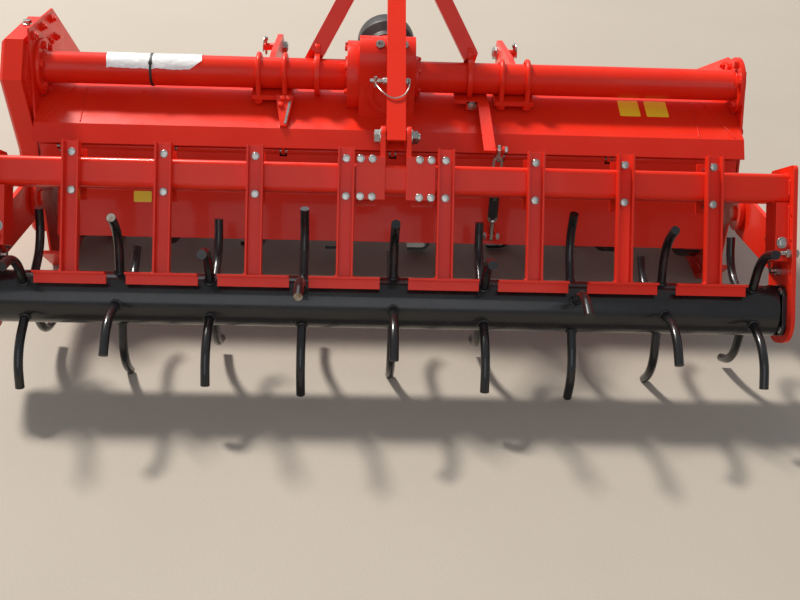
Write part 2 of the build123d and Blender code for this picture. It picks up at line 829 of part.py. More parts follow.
with BuildPart() as rotor:
    with BuildSketch(side(-rotor_tube_half, rotor_y, rotor_z)):
        Circle(rotor_tube_r)
    extrude(amount=2 * rotor_tube_half)
    for n in range(flanges):
        flange_x = (n - (flanges - 1) / 2) * flange_pitch
        with BuildSketch(side(flange_x - flange_t / 2, rotor_y, rotor_z)):
            Circle(flange_r)
        extrude(amount=flange_t)
        for b in range(blades_round):
            angle = n * blade_step + b * 360 / blades_round
            facing = 0 if b % 2 else 180
            spot = Location((centre_x + flange_x, roller_y + rotor_y, rotor_z), (angle, 0, 0))
            with Locations(spot * Location((0, 0, 0), (0, 0, facing))):
                add(tine.part)
    with BuildSketch(side(-rotor_tube_half, rotor_y, rotor_z)):
        Circle(rotor_tube_r - rotor_tube_wall)
    extrude(amount=2 * rotor_tube_half, mode=Mode.SUBTRACT)
save(rotor, "rotor")

with BuildPart() as rotor_stubs:
    for hand in (-1, 1):
        with BuildSketch(side(hand * rotor_tube_half, rotor_y, rotor_z)):
            Circle(rotor_tube_r - rotor_tube_wall - running)
        extrude(amount=-hand * 2 * tube_flange_t)
        with BuildSketch(side(hand * rotor_tube_half, rotor_y, rotor_z)):
            Circle(rotor_stub_r)
        extrude(amount=hand * (plate_outer_x + hub_t - hub_cap_t - stub_end_gap - rotor_tube_half))
save(rotor_stubs, "rotor_stubs")

# Lower hitch, chain arm and headstock
for hand, hitch_name in ((-1, "left_hitch"), (1, "right_hitch")):
    with BuildPart() as hitch:
        saddle_top = tube_z - tube_r
        with BuildSketch(side(hand * saddle_inner_x)):
            with Locations((saddle_rear, saddle_top)):
                Rectangle(saddle_front - saddle_rear, saddle_t, align=(Align.MIN, Align.MAX))
        extrude(amount=hand * (saddle_outer_x - saddle_inner_x))
        with BuildSketch(side(hand * hitch_x)):
            Polygon(
                (tube_y + tube_r + hitch_plate_gap, saddle_top - saddle_t),
                (hitch_foot_front, saddle_top - saddle_t),
                hitch_belly,
                (hitch_y, hitch_z - hitch_eye_r),
                (hitch_y, hitch_z + hitch_eye_r),
                hitch_brow,
                (tube_y + tube_r + hitch_plate_gap, hitch_plate_top),
                align=None,
            )
            with Locations((hitch_y, hitch_z)):
                Circle(hitch_eye_r)
        extrude(amount=-hand * hitch_plate_t)
        with BuildSketch(side(hand * (hitch_x - hitch_plate_t - hitch_pin_inner), hitch_y, hitch_z)):
            Circle(hitch_pin_r)
        extrude(amount=hand * (hitch_plate_t + hitch_pin_inner + hitch_pin_length))
        saddle_mid = hand * (saddle_inner_x + saddle_outer_x) / 2
        for bolt_x in (saddle_mid - u_bolt_pitch / 2, saddle_mid + u_bolt_pitch / 2):
            with BuildLine(side(bolt_x, tube_y, tube_z)) as bolt_line:
                bolt_arc_r = tube_r + u_bolt_r
                Line((-bolt_arc_r, -tube_r - saddle_t), (-bolt_arc_r, 0))
                CenterArc((0, 0), bolt_arc_r, 180, -180)
                Line((bolt_arc_r, 0), (bolt_arc_r, -tube_r - saddle_t))
            with BuildSketch(Plane(bolt_line.line @ 0, z_dir=bolt_line.line % 0)):
                Circle(u_bolt_r)
            sweep()
    save(hitch, hitch_name)

# The left bracket ends on the hood's fold, and the right arm reaches on to the chain
with BuildPart() as hood_bracket:
    hood_slope = (hood_line[2][1] - hood_fold[1]) / (hood_line[2][0] - hood_fold[0])
    seat_z = hood_fold[1] + hood_slope * (saddle_rear - hood_fold[0])
    with BuildSketch(side(-hood_bracket_x - hood_bracket_head / 2)):
        Polygon(
            (saddle_rear, chain_arm_top),
            (saddle_rear, chain_arm_top - chain_arm_t),
            hood_fold,
            (hood_fold[0], hood_fold[1] + chain_arm_t),
            align=None,
        )
    extrude(amount=hood_bracket_head)
    with BuildSketch(Plane((centre_x - hood_bracket_x, roller_y, 0))):
        Polygon(
            (-hood_bracket_head / 2, saddle_rear),
            (hood_bracket_head / 2, saddle_rear),
            (hood_bracket_foot / 2, hood_fold[0]),
            (-hood_bracket_foot / 2, hood_fold[0]),
            align=None,
        )
    extrude(amount=chain_arm_top, mode=Mode.INTERSECT)
    with BuildSketch(side(-hood_bracket_x - chain_arm_t / 2)):
        Polygon((saddle_rear, chain_arm_top - chain_arm_t), (saddle_rear, seat_z), hood_fold, align=None)
    extrude(amount=chain_arm_t)

with BuildPart() as chain_arms:
    add(hood_bracket.part)
    arm_line = (
        (saddle_rear, chain_arm_top),
        (saddle_rear - chain_arm_seat, chain_arm_top),
        (chain_top_y - 2 * chain_arm_t, chain_arm_end),
    )
    arm_outer_x = chain_x - chain_eye_gap / 2
    with BuildSketch(side(arm_outer_x)):
        with BuildLine():
            Polyline(*arm_line)
            offset(amount=chain_arm_t, side=Side.LEFT, kind=Kind.INTERSECTION)
        make_face()
    extrude(amount=-chain_arm_width)
    with BuildSketch(side(arm_outer_x)):
        Polygon(
            (saddle_rear, chain_arm_top),
            (saddle_rear, seat_z),
            hood_fold,
            (chain_top_y, chain_arm_end - 2 * chain_arm_t),
            arm_line[2],
            arm_line[1],
            align=None,
        )
        with Locations((chain_top_y, chain_top_z)):
            Circle(chain_eye_r)
    extrude(amount=-chain_arm_t)
    with BuildSketch(side(arm_outer_x, chain_top_y, chain_top_z)):
        Circle(chain_pin_r)
    extrude(amount=chain_eye_gap)
    with BuildSketch(side(arm_outer_x + chain_eye_gap, chain_top_y, chain_top_z)):
        Circle(chain_eye_r)
    extrude(amount=chain_eye_t)
save(chain_arms, "chain_arms")

with BuildPart() as mast:
    for hand in (-1, 1):
        with BuildSketch(side(link_x + hand * link_gap / 2)):
            Polygon(
                (brace_head_y - mast_margin, brace_head_z - brace_width),
                (brace_head_y + mast_margin, brace_head_z - brace_width),
                (top_link_y + mast_eye_r, top_link_z),
                (top_link_y, top_link_z + mast_eye_r),
                (link_head_y, link_head_z + mast_margin),
                (link_head_y - mast_margin, link_head_z),
                align=None,
            )
            with Locations((top_link_y, top_link_z)):
                Circle(mast_eye_r)
                Circle(top_link_bore_r, mode=Mode.SUBTRACT)
        extrude(amount=hand * mast_t)
    with BuildSketch(side(link_x - link_gap / 2 - mast_t - pin_head_t, link_head_y, link_head_z)):
        Circle(link_pin_r)
    extrude(amount=link_gap + 2 * mast_t + 2 * pin_head_t)
save(mast, "mast")

for hand, brace_name in ((-1, "left_brace"), (1, "right_brace")):
    with BuildPart() as brace:
        low = Vector(centre_x + hand * brace_foot_x, roller_y + brace_foot_y, brace_foot_z)
        high = Vector(centre_x + link_x + hand * brace_head_x, roller_y + brace_head_y, brace_head_z)
        with BuildSketch(Plane(low, x_dir=(1, 0, 0), z_dir=high - low)):
            Rectangle(brace_width, brace_t)
        extrude(amount=(high - low).length)
        with BuildSketch(side(hand * brace_foot_x - brace_ring_t / 2, tube_y, tube_z)):
            Circle(brace_ring_r)
            with Locations((brace_foot_y - tube_y, brace_foot_z - tube_z)):
                Circle(brace_width / 2)
        extrude(amount=brace_ring_t)
        with BuildSketch(side(hand * brace_foot_x - brace_width, tube_y, tube_z)):
            Circle(tube_r)
        extrude(amount=2 * brace_width, mode=Mode.SUBTRACT)
        mast_face = link_x + hand * (link_gap / 2 + mast_t)
        with BuildSketch(side(mast_face)):
            with Locations((brace_head_y, brace_head_z)):
                Rectangle(4 * brace_width, 4 * brace_width)
        extrude(amount=-hand * 2 * brace_width, mode=Mode.SUBTRACT)
    save(brace, brace_name)

# Chain of the rear board: links under the arm, a sleeve, and a long ring round the board's pin
def chain_link(plane, low, high, inner_r):
    """Flat link through the plane's origin line, with its arcs' centres at two heights."""
    with BuildSketch(plane.offset(-chain_bar / 2)) as ring:
        with Locations((0, (low + high) / 2)):
            SlotCenterToCenter(high - low, 2 * (inner_r + chain_bar), rotation=90)
            SlotCenterToCenter(high - low, 2 * inner_r, rotation=90, mode=Mode.SUBTRACT)
    extrude(ring.sketch, amount=chain_bar)


# Two flat links at right angles bear on the corners of their bars, inside their arcs
link_bearing = sqrt(chain_link_r**2 - (chain_bar / 2) ** 2)
ring_bearing = sqrt(chain_ring_r**2 - (chain_bar / 2) ** 2)
ring_low = chain_foot_z - chain_pin_r - chain_seat_gap + chain_ring_r
ring_high = ring_low + chain_ring_length
lower_low = ring_high + ring_bearing + link_bearing - chain_seat_gap
lower_high = lower_low + chain_link_length
top_low = chain_top_z - chain_top_link_length
top_ring_high = top_low - link_bearing - ring_bearing + chain_seat_gap
top_ring_low = top_ring_high - chain_top_ring_length
third_high = top_ring_low - link_bearing - ring_bearing + chain_seat_gap
third_low = third_high - chain_link_length
fourth_high = third_low - 2 * link_bearing + chain_seat_gap
fourth_low = fourth_high - chain_link_length
fifth_high = fourth_low - 2 * link_bearing + chain_seat_gap
fifth_low = fifth_high - chain_link_length
sleeve_low = (lower_low + lower_high) / 2
sleeve_high = (fifth_low + fifth_high) / 2

along = side(chain_x, chain_top_y)
facing = Plane(origin=along.origin, x_dir=(1, 0, 0), z_dir=(0, -1, 0))
with BuildPart() as right_chain:
    chain_link(along, top_low, chain_top_z, chain_link_r)
    chain_link(facing, top_ring_low, top_ring_high, chain_ring_r)
    chain_link(along, third_low, third_high, chain_link_r)
    chain_link(facing, fourth_low, fourth_high, chain_link_r)
    chain_link(along, fifth_low, fifth_high, chain_link_r)
    chain_link(facing, lower_low, lower_high, chain_link_r)
    chain_link(along, ring_low, ring_high, chain_ring_r)
    with BuildSketch(Plane(origin=along.origin).offset(sleeve_low)):
        Circle(chain_sleeve_r)
    extrude(amount=sleeve_high - sleeve_low)
save(right_chain, "right_chain")
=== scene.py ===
"""Finishes, fasteners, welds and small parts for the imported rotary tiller.

Sizes are millimetres in the machine's own axes: X to the right from the middle of the working
width, Y forward from the roller's axis and Z up from the floor. The finished meshes are in metres,
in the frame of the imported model. A spot is a place along the machine and its height (Y, Z). A
profile gives radius and height of each ring of a turned form, from its foot.
"""

import json
import logging
import math
from dataclasses import dataclass, field
from enum import Enum
from itertools import product
from typing import Iterable, Sequence

import bmesh
import bpy
from mathutils import Matrix, Vector, noise


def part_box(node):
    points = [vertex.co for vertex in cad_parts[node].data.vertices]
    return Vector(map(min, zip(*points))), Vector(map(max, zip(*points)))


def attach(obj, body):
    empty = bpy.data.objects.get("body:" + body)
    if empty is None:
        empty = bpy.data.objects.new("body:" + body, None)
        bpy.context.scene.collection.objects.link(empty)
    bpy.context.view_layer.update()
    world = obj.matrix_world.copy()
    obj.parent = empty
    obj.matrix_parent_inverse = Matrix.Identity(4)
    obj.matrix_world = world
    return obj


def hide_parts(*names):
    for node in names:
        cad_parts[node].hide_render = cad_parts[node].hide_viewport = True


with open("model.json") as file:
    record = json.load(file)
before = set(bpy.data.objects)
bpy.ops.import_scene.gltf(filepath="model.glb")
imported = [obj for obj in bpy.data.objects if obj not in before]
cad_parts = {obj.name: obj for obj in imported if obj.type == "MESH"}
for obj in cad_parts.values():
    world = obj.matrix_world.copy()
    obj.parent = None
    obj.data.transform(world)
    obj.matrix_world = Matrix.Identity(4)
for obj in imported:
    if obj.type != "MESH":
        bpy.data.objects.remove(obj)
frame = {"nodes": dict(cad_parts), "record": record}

LOG = logging.getLogger("tiller")
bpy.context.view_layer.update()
MILLIMETRE = 0.001
HANDS = (-1.0, 1.0)
WELD_SHARP = 80.0
BEAD_SIDES = 6
BEAD_LUMPS = 0.16
BEAD_RIPPLES = 260.0
BEAD_END = 0.4
TUBE_AXIS = (585.0, 584.0)
ROTOR_AXIS = (700.0, 250.0)

Point = tuple[float, float, float]
Pair = tuple[float, float]
Spots = tuple[Pair, ...]
Vertices = list[bmesh.types.BMVert]
Socket = bpy.types.NodeSocket


class Slot(Enum):
    """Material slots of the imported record."""

    PAINT = "orange_red_paint"
    BLACK = "black_paint"
    ZINC = "zinc_steel"
    PLASTIC = "black_plastic"


class Body(Enum):
    """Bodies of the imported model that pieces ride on."""

    TILLER = "tiller"
    ROTOR = "rotor"
    BOARD = "rear_board"
    RIGHT_CHAIN = "right_chain"
    FRAME = "roller_frame"
    ROLLER = "roller"
    LINK_OUTER = "link_outer"


def slope(low: Pair, high: Pair) -> tuple[Vector, Vector]:
    """Gives the direction from one spot up to another, and the one square to it.

    Args:
        low: Spot at the lower end.
        high: Spot at the upper end.

    Returns:
        The two directions, the second one pointing to the rear and up.
    """
    along = Vector((0.0, high[0] - low[0], high[1] - low[1])).normalized()
    return along, Vector((0.0, -along.z, along.y))


@dataclass(frozen=True)
class Axes:
    """The machine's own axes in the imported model, and the leans of its frame and link."""

    centre_x: float
    roller_y: float
    roller_z: float
    frame_lean: float = math.radians(33.0)
    link_foot: Pair = (188.0, 590.0)
    link_head: Pair = (740.0, 951.0)

    @classmethod
    def from_frame(cls) -> "Axes":
        """Reads the roller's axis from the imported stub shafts.

        Returns:
            The machine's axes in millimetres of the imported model.
        """
        low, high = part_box("roller_ends")
        middle = (low + high) / 2 / MILLIMETRE
        return cls(middle.x, middle.y, middle.z)

    def point(self, x: float, y: float, z: float) -> Vector:
        """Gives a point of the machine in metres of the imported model."""
        return Vector((x + self.centre_x, y + self.roller_y, z)) * MILLIMETRE

    def leaning(self, x: float, across: float, up: float) -> Vector:
        """Gives a point of the leaning roller frame.

        Args:
            x: Place across the machine.
            across: Distance from the roller's axis across the lean, forward and down.
            up: Distance from the roller's axis up the lean.

        Returns:
            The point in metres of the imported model.
        """
        cosine, sine = math.cos(self.frame_lean), math.sin(self.frame_lean)
        height = self.roller_z - across * sine + up * cosine
        return self.point(x, across * cosine + up * sine, height)

    @property
    def lean_across(self) -> Vector:
        """Direction across the roller frame's lean, forward and down."""
        return Vector((0.0, math.cos(self.frame_lean), -math.sin(self.frame_lean)))

    @property
    def lean_up(self) -> Vector:
        """Direction up along the roller frame's lean."""
        return Vector((0.0, math.sin(self.frame_lean), math.cos(self.frame_lean)))

    def linked(self, x: float, along: float, above: float) -> Vector:
        """Gives a point of the telescopic link.

        Args:
            x: Place across the machine.
            along: Distance from its foot towards its head.
            above: Distance above its middle line.

        Returns:
            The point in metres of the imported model.
        """
        direction, normal = slope(self.link_foot, self.link_head)
        return self.point(x, *self.link_foot) + (direction * along + normal * above) * MILLIMETRE


AXES = Axes.from_frame()
RIGHT = Vector((1.0, 0.0, 0.0))
AHEAD = Vector((0.0, 1.0, 0.0))
UP = Vector((0.0, 0.0, 1.0))


def stand(origin: Vector, out: Vector, along: Vector | None = None) -> Matrix:
    """Makes the placing of a piece whose own Z points out of the face that carries it.

    Args:
        origin: Point on the face, in metres.
        out: Direction out of the face.
        along: Direction of the piece's own X, or None for any.

    Returns:
        The placing as a 4x4 matrix.
    """
    z_axis = out.normalized()
    guide = along if along is not None else (UP if abs(z_axis.z) < 0.9 else RIGHT)
    y_axis = z_axis.cross(guide).normalized()
    x_axis = y_axis.cross(z_axis).normalized()
    turn = Matrix((x_axis, y_axis, z_axis)).transposed().to_4x4()
    return Matrix.Translation(origin) @ turn


def seat(x: float, y: float, z: float, out: Vector, along: Vector | None = None) -> Matrix:
    """Makes the placing of a piece at a point of the machine, as stand does."""
    return stand(AXES.point(x, y, z), out, along)


def circle(count: int, first: float = 0.0) -> list[Pair]:
    """Gives cosine and sine of angles spread evenly round, from the first one in degrees."""
    turns = [math.radians(first + 360.0 * n / count) for n in range(count)]
    return [(math.cos(turn), math.sin(turn)) for turn in turns]


def rim(centre: Pair, radius: float, count: int, first: float = 0.0) -> list[Pair]:
    """Gives spots spread evenly round a circle that faces across the machine.

    Args:
        centre: Spot at its middle.
        radius: Its radius.
        count: Number of spots.
        first: Angle of the first spot in degrees, from ahead towards up.

    Returns:
        The spots in order.
    """
    y, z = centre
    return [(y + radius * cosine, z + radius * sine) for cosine, sine in circle(count, first)]


def add_object(name: str, data: bpy.types.ID) -> bpy.types.Object:
    """Adds an object to the scene.

    Args:
        name: Name of the object.
        data: Its mesh, lamp or camera.

    Returns:
        The object.
    """
    made = bpy.data.objects.new(name, data)
    bpy.context.scene.collection.objects.link(made)
    return made


def smooth(points: Sequence[Vector], between: int) -> list[Vector]:
    """Runs a smooth line through points.

    Args:
        points: Points that the line passes.
        between: Number of steps from one point to the next.

    Returns:
        The points of the line.
    """
    line = []
    last = len(points) - 1
    for n in range(last):
        p0, p1 = points[max(n - 1, 0)], points[n]
        p2, p3 = points[n + 1], points[min(n + 2, last)]
        for k in range(between):
            t = k / between
            bend = (2 * p0 - 5 * p1 + 4 * p2 - p3) * t**2 + (3 * p1 - p0 - 3 * p2 + p3) * t**3
            line.append(0.5 * (2 * p1 + (p2 - p0) * t + bend))
    return [*line, points[last]]


def ripple(x: float, y: float, z: float) -> float:
    """Gives a smooth unevenness between -1 and 1 that depends on a place alone."""
    return noise.noise(Vector((x, y, z)))


class NodeBook:
    """Short calls for a material's node tree."""

    def __init__(self, material: bpy.types.Material) -> None:
        """Clears the material's tree and adds its output and shader.

        Args:
            material: Material whose nodes are made.
        """
        material.use_nodes = True
        self.tree = material.node_tree
        self.tree.nodes.clear()
        self.output = self.tree.nodes.new("ShaderNodeOutputMaterial")
        self.shader = self.tree.nodes.new("ShaderNodeBsdfPrincipled")
        self.feed(self.output, {"Surface": self.shader.outputs["BSDF"]})
        self.place = self.tree.nodes.new("ShaderNodeTexCoord").outputs["Object"]

    def feed(self, node: bpy.types.Node, inputs: dict[str | int, object]) -> None:
        """Links or sets a node's inputs.

        Args:
            node: Node whose inputs are fed.
            inputs: Socket or value for each input, by its name or its number.
        """
        for key, value in inputs.items():
            if isinstance(value, Socket):
                self.tree.links.new(value, node.inputs[key])
            else:
                node.inputs[key].default_value = value

    def add(self, kind: str, inputs: dict[str | int, object], **settings: str) -> bpy.types.Node:
        """Adds a node, with its settings made before its inputs are fed.

        Args:
            kind: Type of the node.
            inputs: Socket or value for each input, by its name or its number.
            **settings: The node's own properties.

        Returns:
            The node.
        """
        node = self.tree.nodes.new(kind)
        for name, value in settings.items():
            setattr(node, name, value)
        self.feed(node, inputs)
        return node

    def cloud(self, scale: float, detail: float = 3.0, rough: float = 0.5) -> Socket:
        """Adds a cloudy noise over the piece.

        Args:
            scale: Clouds in a metre.
            detail: Octaves of finer clouds.
            rough: Strength of the finer clouds.

        Returns:
            The noise's factor.
        """
        values = {"Scale": scale, "Detail": detail, "Roughness": rough, "Vector": self.place}
        return self.add("ShaderNodeTexNoise", values).outputs["Fac"]

    def spread(self, source: Socket, to: Pair, start: float = 0.3, end: float = 0.7) -> Socket:
        """Maps a factor to a range.

        Args:
            source: Factor to map.
            to: Values at the start and at the end.
            start: Factor that gives the first value.
            end: Factor that gives the second value.

        Returns:
            The mapped value.
        """
        values = {"From Min": start, "From Max": end, "To Min": to[0], "To Max": to[1]}
        return self.add("ShaderNodeMapRange", {**values, "Value": source}).outputs["Result"]

    def blend(self, factor: Socket, first: Socket | Point, second: Socket | Point) -> Socket:
        """Mixes two colours.

        Args:
            factor: Share of the second colour.
            first: Colour or socket at factor 0.
            second: Colour or socket at factor 1.

        Returns:
            The mixed colour.
        """
        pair = [tone if isinstance(tone, Socket) else (*tone, 1.0) for tone in (first, second)]
        inputs = {0: factor, 6: pair[0], 7: pair[1]}
        return self.add("ShaderNodeMix", inputs, data_type="RGBA").outputs[2]

    def bump(self, height: Socket, distance: float, under: Socket | None = None) -> Socket:
        """Adds relief to the surface.

        Args:
            height: Factor that rises and falls.
            distance: Height of the relief in millimetres.
            under: Normal of another relief under this one.

        Returns:
            The normal.
        """
        inputs = {"Distance": distance * MILLIMETRE, "Height": height}
        if under is not None:
            inputs["Normal"] = under
        return self.add("ShaderNodeBump", inputs).outputs["Normal"]

    def upward(self) -> Socket:
        """Gives how far the surface faces up, for dust that settles on it."""
        normal = self.tree.nodes.new("ShaderNodeNewGeometry").outputs["Normal"]
        return self.add("ShaderNodeSeparateXYZ", {0: normal}).outputs["Z"]

    def product(self, first: Socket, second: Socket) -> Socket:
        """Multiplies two factors."""
        return self.add("ShaderNodeMath", {0: first, 1: second}, operation="MULTIPLY").outputs[0]


@dataclass(frozen=True)
class Finish:
    """A surface finish: two near tones, dust, roughness and relief, and the shader's own values."""

    name: str
    slot: Slot
    tone: Point
    shade: Point
    roughness: Pair = (0.3, 0.45)
    metallic: float = 0.0
    coat: float = 0.0
    coat_roughness: float = 0.05
    specular: float = 0.5
    patches: float = 5.0
    grain: float = 350.0
    grain_height: float = 0.03
    waves: float = 0.0
    dust: float = 0.0
    dust_tone: Point = (0.42, 0.36, 0.29)

    def material(self) -> bpy.types.Material:
        """Makes the finish's material once and gives it after that.

        Returns:
            The material with its nodes.
        """
        found = bpy.data.materials.get(self.name)
        if found is not None:
            return found
        made = bpy.data.materials.new(self.name)
        book = NodeBook(made)
        patch = book.spread(book.cloud(self.patches, 4.0), (0.0, 1.0))
        tone = book.blend(patch, self.tone, self.shade)
        roughness = book.spread(book.cloud(self.patches * 4.0, 5.0, 0.6), self.roughness)
        if self.dust > 0.0:
            settled = book.spread(book.upward(), (0.25, 1.0), -0.2, 0.9)
            drifts = book.cloud(self.patches * 2.5, 6.0, 0.65)
            film = book.product(settled, book.spread(drifts, (0.0, self.dust), 0.35, 0.75))
            tone = book.blend(film, tone, self.dust_tone)
        normal = book.bump(book.cloud(self.grain, 2.0), self.grain_height)
        if self.waves > 0.0:
            normal = book.bump(book.cloud(9.0, 1.0, 0.3), self.waves, normal)
        inputs = {
            "Base Color": tone,
            "Roughness": roughness,
            "Normal": normal,
            "Metallic": self.metallic,
            "Coat Weight": self.coat,
            "Coat Roughness": self.coat_roughness,
            "Specular IOR Level": self.specular,
        }
        book.feed(book.shader, inputs)
        return made


PAINT = Finish(
    "gloss_orange_red_paint",
    Slot.PAINT,
    (0.80, 0.027, 0.008),
    (0.73, 0.020, 0.006),
    roughness=(0.26, 0.38),
    coat=0.15,
    specular=0.2,
    grain_height=0.02,
    waves=0.5,
    dust=0.05,
    dust_tone=(0.64, 0.16, 0.08),
)
BLACK = Finish(
    "gloss_black_paint",
    Slot.BLACK,
    (0.006, 0.006, 0.007),
    (0.010, 0.010, 0.011),
    roughness=(0.2, 0.32),
    coat=0.3,
    specular=0.4,
    waves=0.3,
    dust=0.03,
    dust_tone=(0.20, 0.18, 0.15),
)
ZINC = Finish(
    "zinc_plated_steel",
    Slot.ZINC,
    (0.50, 0.49, 0.46),
    (0.34, 0.335, 0.31),
    roughness=(0.22, 0.36),
    metallic=1.0,
    patches=60.0,
    grain=900.0,
    grain_height=0.01,
)
PLASTIC = Finish(
    "black_guard_plastic",
    Slot.PLASTIC,
    (0.016, 0.016, 0.017),
    (0.024, 0.024, 0.025),
    roughness=(0.42, 0.55),
    grain=1400.0,
    dust=0.10,
    dust_tone=(0.22, 0.20, 0.17),
)
RUBBER = Finish(
    "black_rubber_hose",
    Slot.PLASTIC,
    (0.014, 0.014, 0.014),
    (0.022, 0.022, 0.021),
    roughness=(0.5, 0.65),
    grain=700.0,
    grain_height=0.05,
)
BARE_STEEL = Finish(
    "machined_steel",
    Slot.ZINC,
    (0.55, 0.54, 0.52),
    (0.40, 0.38, 0.35),
    roughness=(0.25, 0.4),
    metallic=1.0,
    patches=40.0,
    grain=1200.0,
    grain_height=0.01,
)
WORN_STEEL = Finish(
    "bare_cut_steel",
    Slot.ZINC,
    (0.42, 0.39, 0.35),
    (0.22, 0.15, 0.10),
    roughness=(0.4, 0.6),
    metallic=1.0,
    patches=90.0,
    grain=800.0,
    grain_height=0.04,
)
STICKER = Finish(
    "blank_yellow_vinyl",
    Slot.PAINT,
    (0.95, 0.72, 0.03),
    (0.91, 0.66, 0.03),
    roughness=(0.3, 0.4),
    coat=0.2,
    grain=500.0,
    grain_height=0.01,
)
PAPER = Finish(
    "white_wrap_film",
    Slot.PAINT,
    (0.88, 0.88, 0.87),
    (0.78, 0.78, 0.77),
    roughness=(0.3, 0.5),
    coat=0.3,
    patches=25.0,
    grain=120.0,
    grain_height=0.4,
)


class Stock:
    """A mesh being made for one piece, in metres."""

    def __init__(self) -> None:
        """Starts an empty mesh."""
        self.mesh = bmesh.new()

    def ring(self, points: Iterable[Vector]) -> Vertices:
        """Adds points as vertices, in order."""
        return [self.mesh.verts.new(point) for point in points]

    def bridge(self, first: Vertices, second: Vertices) -> None:
        """Joins two closed rings with quads.

        Args:
            first: Vertices of one ring.
            second: As many vertices of the other.
        """
        count = len(first)
        for n in range(count):
            after = (n + 1) % count
            self.mesh.faces.new((first[n], first[after], second[after], second[n]))

    def skin(self, sections: Iterable[Iterable[Vector]], closed: bool = False) -> None:
        """Joins sections of as many points in turn.

        Args:
            sections: Points of each section, in metres.
            closed: True where the last one meets the first, False for a face at either end.
        """
        rings = [self.ring(points) for points in sections]
        for low, high in zip(rings, rings[1:]):
            self.bridge(low, high)
        first, last = rings[0], rings[-1]
        if closed:
            gaps = [(last[0].co - vertex.co).length for vertex in first]
            shift = gaps.index(min(gaps))
            self.bridge(last, first[shift:] + first[:shift])
        else:
            self.mesh.faces.new(first[::-1])
            self.mesh.faces.new(last)

    def turned(self, place: Matrix, profile: Sequence[Pair], sides: int = 32) -> None:
        """Adds a turned form, closed at both ends.

        Args:
            place: Placing, with the turning axis along its Z.
            profile: Radius and height of each ring, from its foot.
            sides: Number of vertices in a ring.
        """
        around = circle(sides)
        self.skin(
            [place @ (Vector((radius * c, radius * s, height)) * MILLIMETRE) for c, s in around]
            for radius, height in profile
        )

    def hexagon(self, place: Matrix, flats: float, low: float, high: float) -> None:
        """Adds a hexagonal head or nut with a chamfered crown.

        Args:
            place: Placing, with Z out of the face.
            flats: Size across the flats.
            low: Height of its foot.
            high: Height of its crown.
        """
        corner = flats / math.sqrt(3)
        crown = high - 0.03 * flats
        self.turned(place, [(corner, low), (corner, crown), (0.465 * flats, high)], sides=6)

    def box(self, place: Matrix, size: Point, edge: float) -> None:
        """Adds a block whose foot's middle is at the placing, with its edges cut at 45 degrees.

        Args:
            place: Placing, with Z out of the face.
            size: Width, depth and height.
            edge: Width of the cut at the upper edges.
        """
        width, depth, height = size[0] / 2, size[1] / 2, size[2]
        sections = []
        for level, inset in ((0.0, 0.0), (height - edge, 0.0), (height, edge)):
            x, y = width - inset, depth - inset
            corners = ((-x, -y), (x, -y), (x, y), (-x, y))
            sections.append([place @ (Vector((*c, level)) * MILLIMETRE) for c in corners])
        self.skin(sections)

    def prism(self, outline: Sequence[Vector], depth: Vector, edge: float = 0.0) -> None:
        """Adds a flat plate from its outline.

        Args:
            outline: Corners of one face, in metres.
            depth: Way from that face to the other, in metres.
            edge: Width of the cut along both faces' edges.
        """
        middle = sum(outline, Vector()) / len(outline)
        steps = [(0.0, 1.0), (1.0, 1.0)]
        if edge:
            cut = edge * MILLIMETRE
            share = cut / depth.length
            small = 1 - cut / max((point - middle).length for point in outline)
            steps = [(0.0, small), (share, 1.0), (1 - share, 1.0), (1.0, small)]
        self.skin(
            [middle + (point - middle) * grow + depth * way for point in outline]
            for way, grow in steps
        )

    def rod(
        self,
        points: Sequence[Vector],
        radius: float,
        sides: int = 8,
        closed: bool = False,
        lumps: float = 0.0,
    ) -> None:
        """Adds a round bar along points.

        Args:
            points: Points along its middle, in metres.
            radius: Its radius.
            sides: Number of vertices in a ring.
            closed: True where its end meets its start.
            lumps: Share by which its radius swells and shrinks, for weld beads.
        """
        count = len(points)
        around = circle(sides)
        sections = []
        across = None
        for n, point in enumerate(points):
            before = points[(n - 1) % count] if closed or n else point
            after = points[(n + 1) % count] if closed or n < count - 1 else point
            ahead = (after - before).normalized()
            if across is None:
                across = ahead.cross(UP if abs(ahead.z) < 0.8 else RIGHT).normalized()
            across = (across - ahead * across.dot(ahead)).normalized()
            other = ahead.cross(across)
            wave = noise.noise(point * BEAD_RIPPLES) + 0.5 * math.sin(n * math.pi / 1.5)
            reach = radius * MILLIMETRE * (1.0 + lumps * wave)
            if lumps and not closed and n in (0, count - 1):
                reach *= BEAD_END
            sections.append([point + (across * c + other * s) * reach for c, s in around])
        self.skin(sections, closed)

    def seam(self, start: Vector, end: Vector, radius: float, step: float = 2.5) -> None:
        """Adds a weld bead on a straight line.

        Args:
            start: Its first point in metres.
            end: Its last point in metres.
            radius: Radius of the bead.
            step: Distance between its ripples.
        """
        count = max(3, int((end - start).length / (step * MILLIMETRE)))
        points = [start.lerp(end, n / count) for n in range(count + 1)]
        self.rod(points, radius, sides=BEAD_SIDES, lumps=BEAD_LUMPS)

    def weld_ring(self, place: Matrix, round_r: float, radius: float, step: float = 2.5) -> None:
        """Adds a round weld bead about the placing's Z.

        Args:
            place: Placing at the middle of the ring.
            round_r: Radius of the ring.
            radius: Radius of the bead.
            step: Distance between its ripples.
        """
        reach = round_r * MILLIMETRE
        around = circle(max(12, int(2 * math.pi * round_r / step)))
        points = [place @ (Vector((cosine, sine, 0.0)) * reach) for cosine, sine in around]
        self.rod(points, radius, sides=BEAD_SIDES, closed=True, lumps=BEAD_LUMPS)

